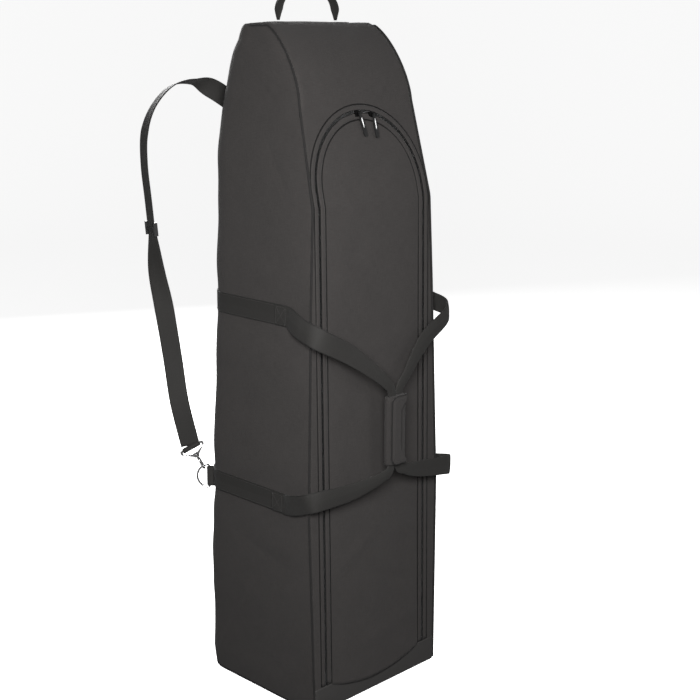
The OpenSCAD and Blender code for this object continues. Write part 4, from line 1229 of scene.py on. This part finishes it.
class CASE_OT_strap(bpy.types.Operator):
    """Build the shoulder strap, its doubled lower length, the turns round both bars and the ring tabs"""

    bl_idname = "case.strap"
    bl_label = "Shoulder strap"

    def execute(self, context):
        s, w, _, mat = setup()
        knots, normals = self.knots(s)
        points = spline(knots, w.smooth)
        faces = unit(mixed(normals, w.smooth))
        wide = np.full(len(points), w.width - 0.002)
        strap, long = webbing("strap_web", points, faces, wide, w.thickness, mat["webbing"])
        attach(strap, "case")
        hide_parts("strap_webbing")
        start = 9 * w.smooth
        under, long = webbing("strap_loop_web", points[start:], faces[start:], wide[start:], w.thickness,
                              mat["webbing"], lift=-w.thickness - 0.0003)
        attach(under, "case")
        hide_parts("strap_loop_webbing")
        for name, at, aim in (("lower", LOWER_RING, LOWER_AIM), ("upper", UPPER_RING, UPPER_AIM)):
            self.turn_round_bar(name, at, aim, w, mat)
            self.tab(name, at, aim, w, mat)
        return {"FINISHED"}

    def knots(self, s):
        h = s.height
        top = bar_frame(UPPER_RING, *UPPER_AIM, BAR_REACH + 0.004) @ Vector((0, 0, 0))
        end = bar_frame(LOWER_RING, *LOWER_AIM, BAR_REACH + 0.004) @ Vector((0, 0, 0))
        points = [
            tuple(top), (-0.070, 0.166, h - 0.148), (-0.115, 0.168, h - 0.122), (-0.152, 0.180, h - 0.107),
            (-0.188, 0.202, h - 0.114), (-0.214, 0.226, h - 0.150), (-0.228, 0.240, h - 0.200),
            (-0.230, 0.242, h - 0.260), (-0.226, 0.238, h - 0.330), (-0.222, 0.234, h - 0.400),
            (-0.218, 0.230, h - 0.470), (-0.209, 0.220, h - 0.545), (-0.200, 0.209, h - 0.645),
            (end[0] - 0.014, end[1] + 0.014, end[2] + 0.090), tuple(end)]
        edge_on, face_on = (-0.95, 0.29, 0), (-0.707, -0.707, 0)
        normals = [(0.2, 1, 0), (0, 1, 0.2), (-0.3, 0.8, 0.5), (-0.4, 0.5, 0.9), (-0.7, 0.5, 0.5),
                   (-0.85, 0.45, 0.2)] + [edge_on] * 4 + [(-0.95, -0.3, 0)] + [face_on] * 4
        return np.array(points, float), np.array(normals, float)

    def turn_round_bar(self, name, at, aim, w, mat):
        """The webbing's turn round a bar, and the sewn end that lies back on it."""
        frame_of = np.array(bar_frame(at, *aim, BAR_REACH))
        turn = np.linspace(-math.pi * 0.5, math.pi * 1.5, 40)
        r = 0.0042
        local = np.stack([0 * turn, r * np.cos(turn), r * np.sin(turn) + 0.0], -1)
        points = local @ frame_of[:3, :3].T + frame_of[:3, 3]
        normals = np.stack([0 * turn, np.cos(turn), np.sin(turn)], -1) @ frame_of[:3, :3].T
        loop, _ = webbing(name + "_bar_turn", points, normals, np.full(40, w.width - 0.002), w.thickness,
                          mat["webbing"])
        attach(loop, "case")

    def tab(self, name, at, aim, w, mat):
        """A ring's tab: two layers from the case, meeting round the ring's bar."""
        turn = aim[0] if name == "lower" else 90
        frame_of = np.array(ring_frame(at, turn))
        r = 0.0036
        arc = np.linspace(-math.pi / 2, math.pi / 2, 20)
        deep = np.linspace(0.0105, 0.0005, 8)
        top = np.stack([-deep, np.full(8, r), 0 * deep], -1)
        bend = np.stack([r * np.cos(arc[::-1]), r * np.sin(arc[::-1]), 0 * arc], -1)
        low = np.stack([-deep[::-1], np.full(8, -r), 0 * deep], -1)
        local = np.concatenate([top, bend[1:-1], low])
        out = np.concatenate([np.tile([0.0, 1, 0], (8, 1)),
                              np.stack([np.cos(arc[::-1]), np.sin(arc[::-1]), 0 * arc], -1)[1:-1],
                              np.tile([0.0, -1, 0], (8, 1))])
        points = local @ frame_of[:3, :3].T + frame_of[:3, 3]
        normals = out @ frame_of[:3, :3].T
        tab, _ = webbing(name + "_ring_tab_web", points, normals, np.full(len(points), w.width), w.thickness,
                         mat["webbing"])
        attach(tab, "case")
        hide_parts(name + "_ring_tab")


class CASE_OT_hardware(bpy.types.Operator):
    """Finish the rings, hooks, gates, buckles and slide, and the pieces inside the case"""

    bl_idname = "case.hardware"
    bl_label = "Hardware and inside"

    def execute(self, context):
        mat = materials()
        for side in ("lower", "upper"):
            for piece in ("_d_ring", "_strap_buckle", "_hook", "_hook_gate"):
                finish(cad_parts[side + piece], mat["metal"], 0.0)
            finish(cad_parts[side + "_strap_buckle"], mat["metal"], 0.0008)
        finish(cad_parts["tri_glide"], mat["plastic"], 0.0008)
        for node in ("hood_foam", "base_board"):
            finish(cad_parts[node], mat["inside"], 0.002)
        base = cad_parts["base_panel"]
        finish(base, mat["coated"], 0.0012)
        return {"FINISHED"}


# Each light: name, place in metres, diameter in metres, power in watts.
LIGHTS = (
    ("key_light", (-1.10, -1.15, 1.25), 0.7, 46.0),
    ("side_light", (0.2, -2.4, 1.9), 1.0, 12.0),
    ("back_light", (1.2, 2.4, 2.0), 1.4, 130.0),
)


class CASE_OT_stage(bpy.types.Operator):
    """Build the floor, the lights, the world and the camera"""

    bl_idname = "case.stage"
    bl_label = "Stage"

    def execute(self, context):
        scene = context.scene
        self.floor()
        for name, place, size, power in LIGHTS:
            self.light(name, place, size, power)
        world = bpy.data.worlds.new("studio")
        world.use_nodes = True
        world.node_tree.nodes["Background"].inputs["Color"].default_value = (1, 1, 1, 1)
        world.node_tree.nodes["Background"].inputs["Strength"].default_value = 0.16
        scene.world = world
        lens = bpy.data.cameras.new("camera")
        lens.sensor_width = 36.0
        lens.lens = 67.62
        lens.shift_x = 0.038
        camera = bpy.data.objects.new("camera", lens)
        scene.collection.objects.link(camera)
        camera.location = (-1.7623, -1.8100, 1.2746)
        forward = Vector((0.68097, 0.69361, -0.23494))
        camera.rotation_euler = forward.to_track_quat("-Z", "Y").to_euler()
        scene.camera = camera
        scene.view_settings.view_transform = "Standard"
        return {"FINISHED"}

    def floor(self):
        """A round floor that curves up into a wall: radius r(t), height z(t), turned about the Z axis."""
        t = np.linspace(0, 1, 40)[:, None]
        turn = np.linspace(0, 2 * math.pi, 73)[None]
        bend = np.clip((t - 0.5) / 0.25, 0, 1) * math.pi / 2
        r = 6 * np.clip(t / 0.5, 0.001, 1) + 3 * np.sin(bend)
        z = 3 * (1 - np.cos(bend)) + 5 * np.clip((t - 0.75) / 0.25, 0, 1)
        points = np.stack([r * np.cos(turn), r * np.sin(turn), z + 0 * turn], -1)
        flat = points[..., :2].copy()
        net = Net("pale_floor")
        net.set(Base_Color=rgba((0.97, 0.97, 0.97)), Roughness=0.8)
        net.set(Emission_Color=rgba((1.0, 1.0, 1.0)), Emission_Strength=0.75)
        sheet = cloth_mesh("floor", points, flat, net.material, lambda m: np.array([0.0, 0, 3]) - m)
        # The backdrop has its own light, which is kept off the case as in a studio.
        sheet.visible_diffuse = False
        sheet.visible_glossy = False

    def light(self, name, place, size, power):
        data = bpy.data.lights.new(name, "AREA")
        data.shape = "DISK"
        data.size = size
        data.energy = power
        lamp = bpy.data.objects.new(name, data)
        bpy.context.scene.collection.objects.link(lamp)
        lamp.location = place
        lamp.visible_camera = False
        aim = Vector((0, 0, 0.65)) - Vector(place)
        lamp.rotation_euler = aim.to_track_quat("-Z", "Y").to_euler()


class CASE_PT_panel(bpy.types.Panel):
    """Sizes, colours and a button for each piece"""

    bl_idname = "CASE_PT_panel"
    bl_label = "Travel case"
    bl_space_type = "VIEW_3D"
    bl_region_type = "UI"
    bl_category = "Travel case"

    def draw(self, context):
        for group in ("case_sizes", "webbing_sizes", "case_colours"):
            box = self.layout.box()
            settings = getattr(context.scene, group)
            for key in settings.__annotations__:
                box.prop(settings, key)
        for operator in OPERATORS:
            self.layout.operator(operator.bl_idname)


GROUPS = (("case_sizes", CaseSizes), ("webbing_sizes", WebbingSizes), ("case_colours", CaseColours))
OPERATORS = (CASE_OT_body, CASE_OT_front, CASE_OT_door, CASE_OT_zip, CASE_OT_bands, CASE_OT_handles,
             CASE_OT_wrap,
             CASE_OT_top_handle, CASE_OT_strap, CASE_OT_hardware, CASE_OT_stage)


def register():
    for name, group in GROUPS:
        bpy.utils.register_class(group)
        setattr(bpy.types.Scene, name, PointerProperty(type=group))
    for operator in OPERATORS:
        bpy.utils.register_class(operator)
    bpy.utils.register_class(CASE_PT_panel)


def unregister():
    bpy.utils.unregister_class(CASE_PT_panel)
    for operator in reversed(OPERATORS):
        bpy.utils.unregister_class(operator)
    for name, group in reversed(GROUPS):
        delattr(bpy.types.Scene, name)
        bpy.utils.unregister_class(group)


def main():
    register()
    bpy.ops.case.body()
    bpy.ops.case.front()
    bpy.ops.case.door()
    bpy.ops.case.zip()
    bpy.ops.case.bands()
    bpy.ops.case.handles()
    bpy.ops.case.wrap()
    bpy.ops.case.top_handle()
    bpy.ops.case.strap()
    bpy.ops.case.hardware()
    bpy.ops.case.stage()


if __name__ == "__main__":
    main()
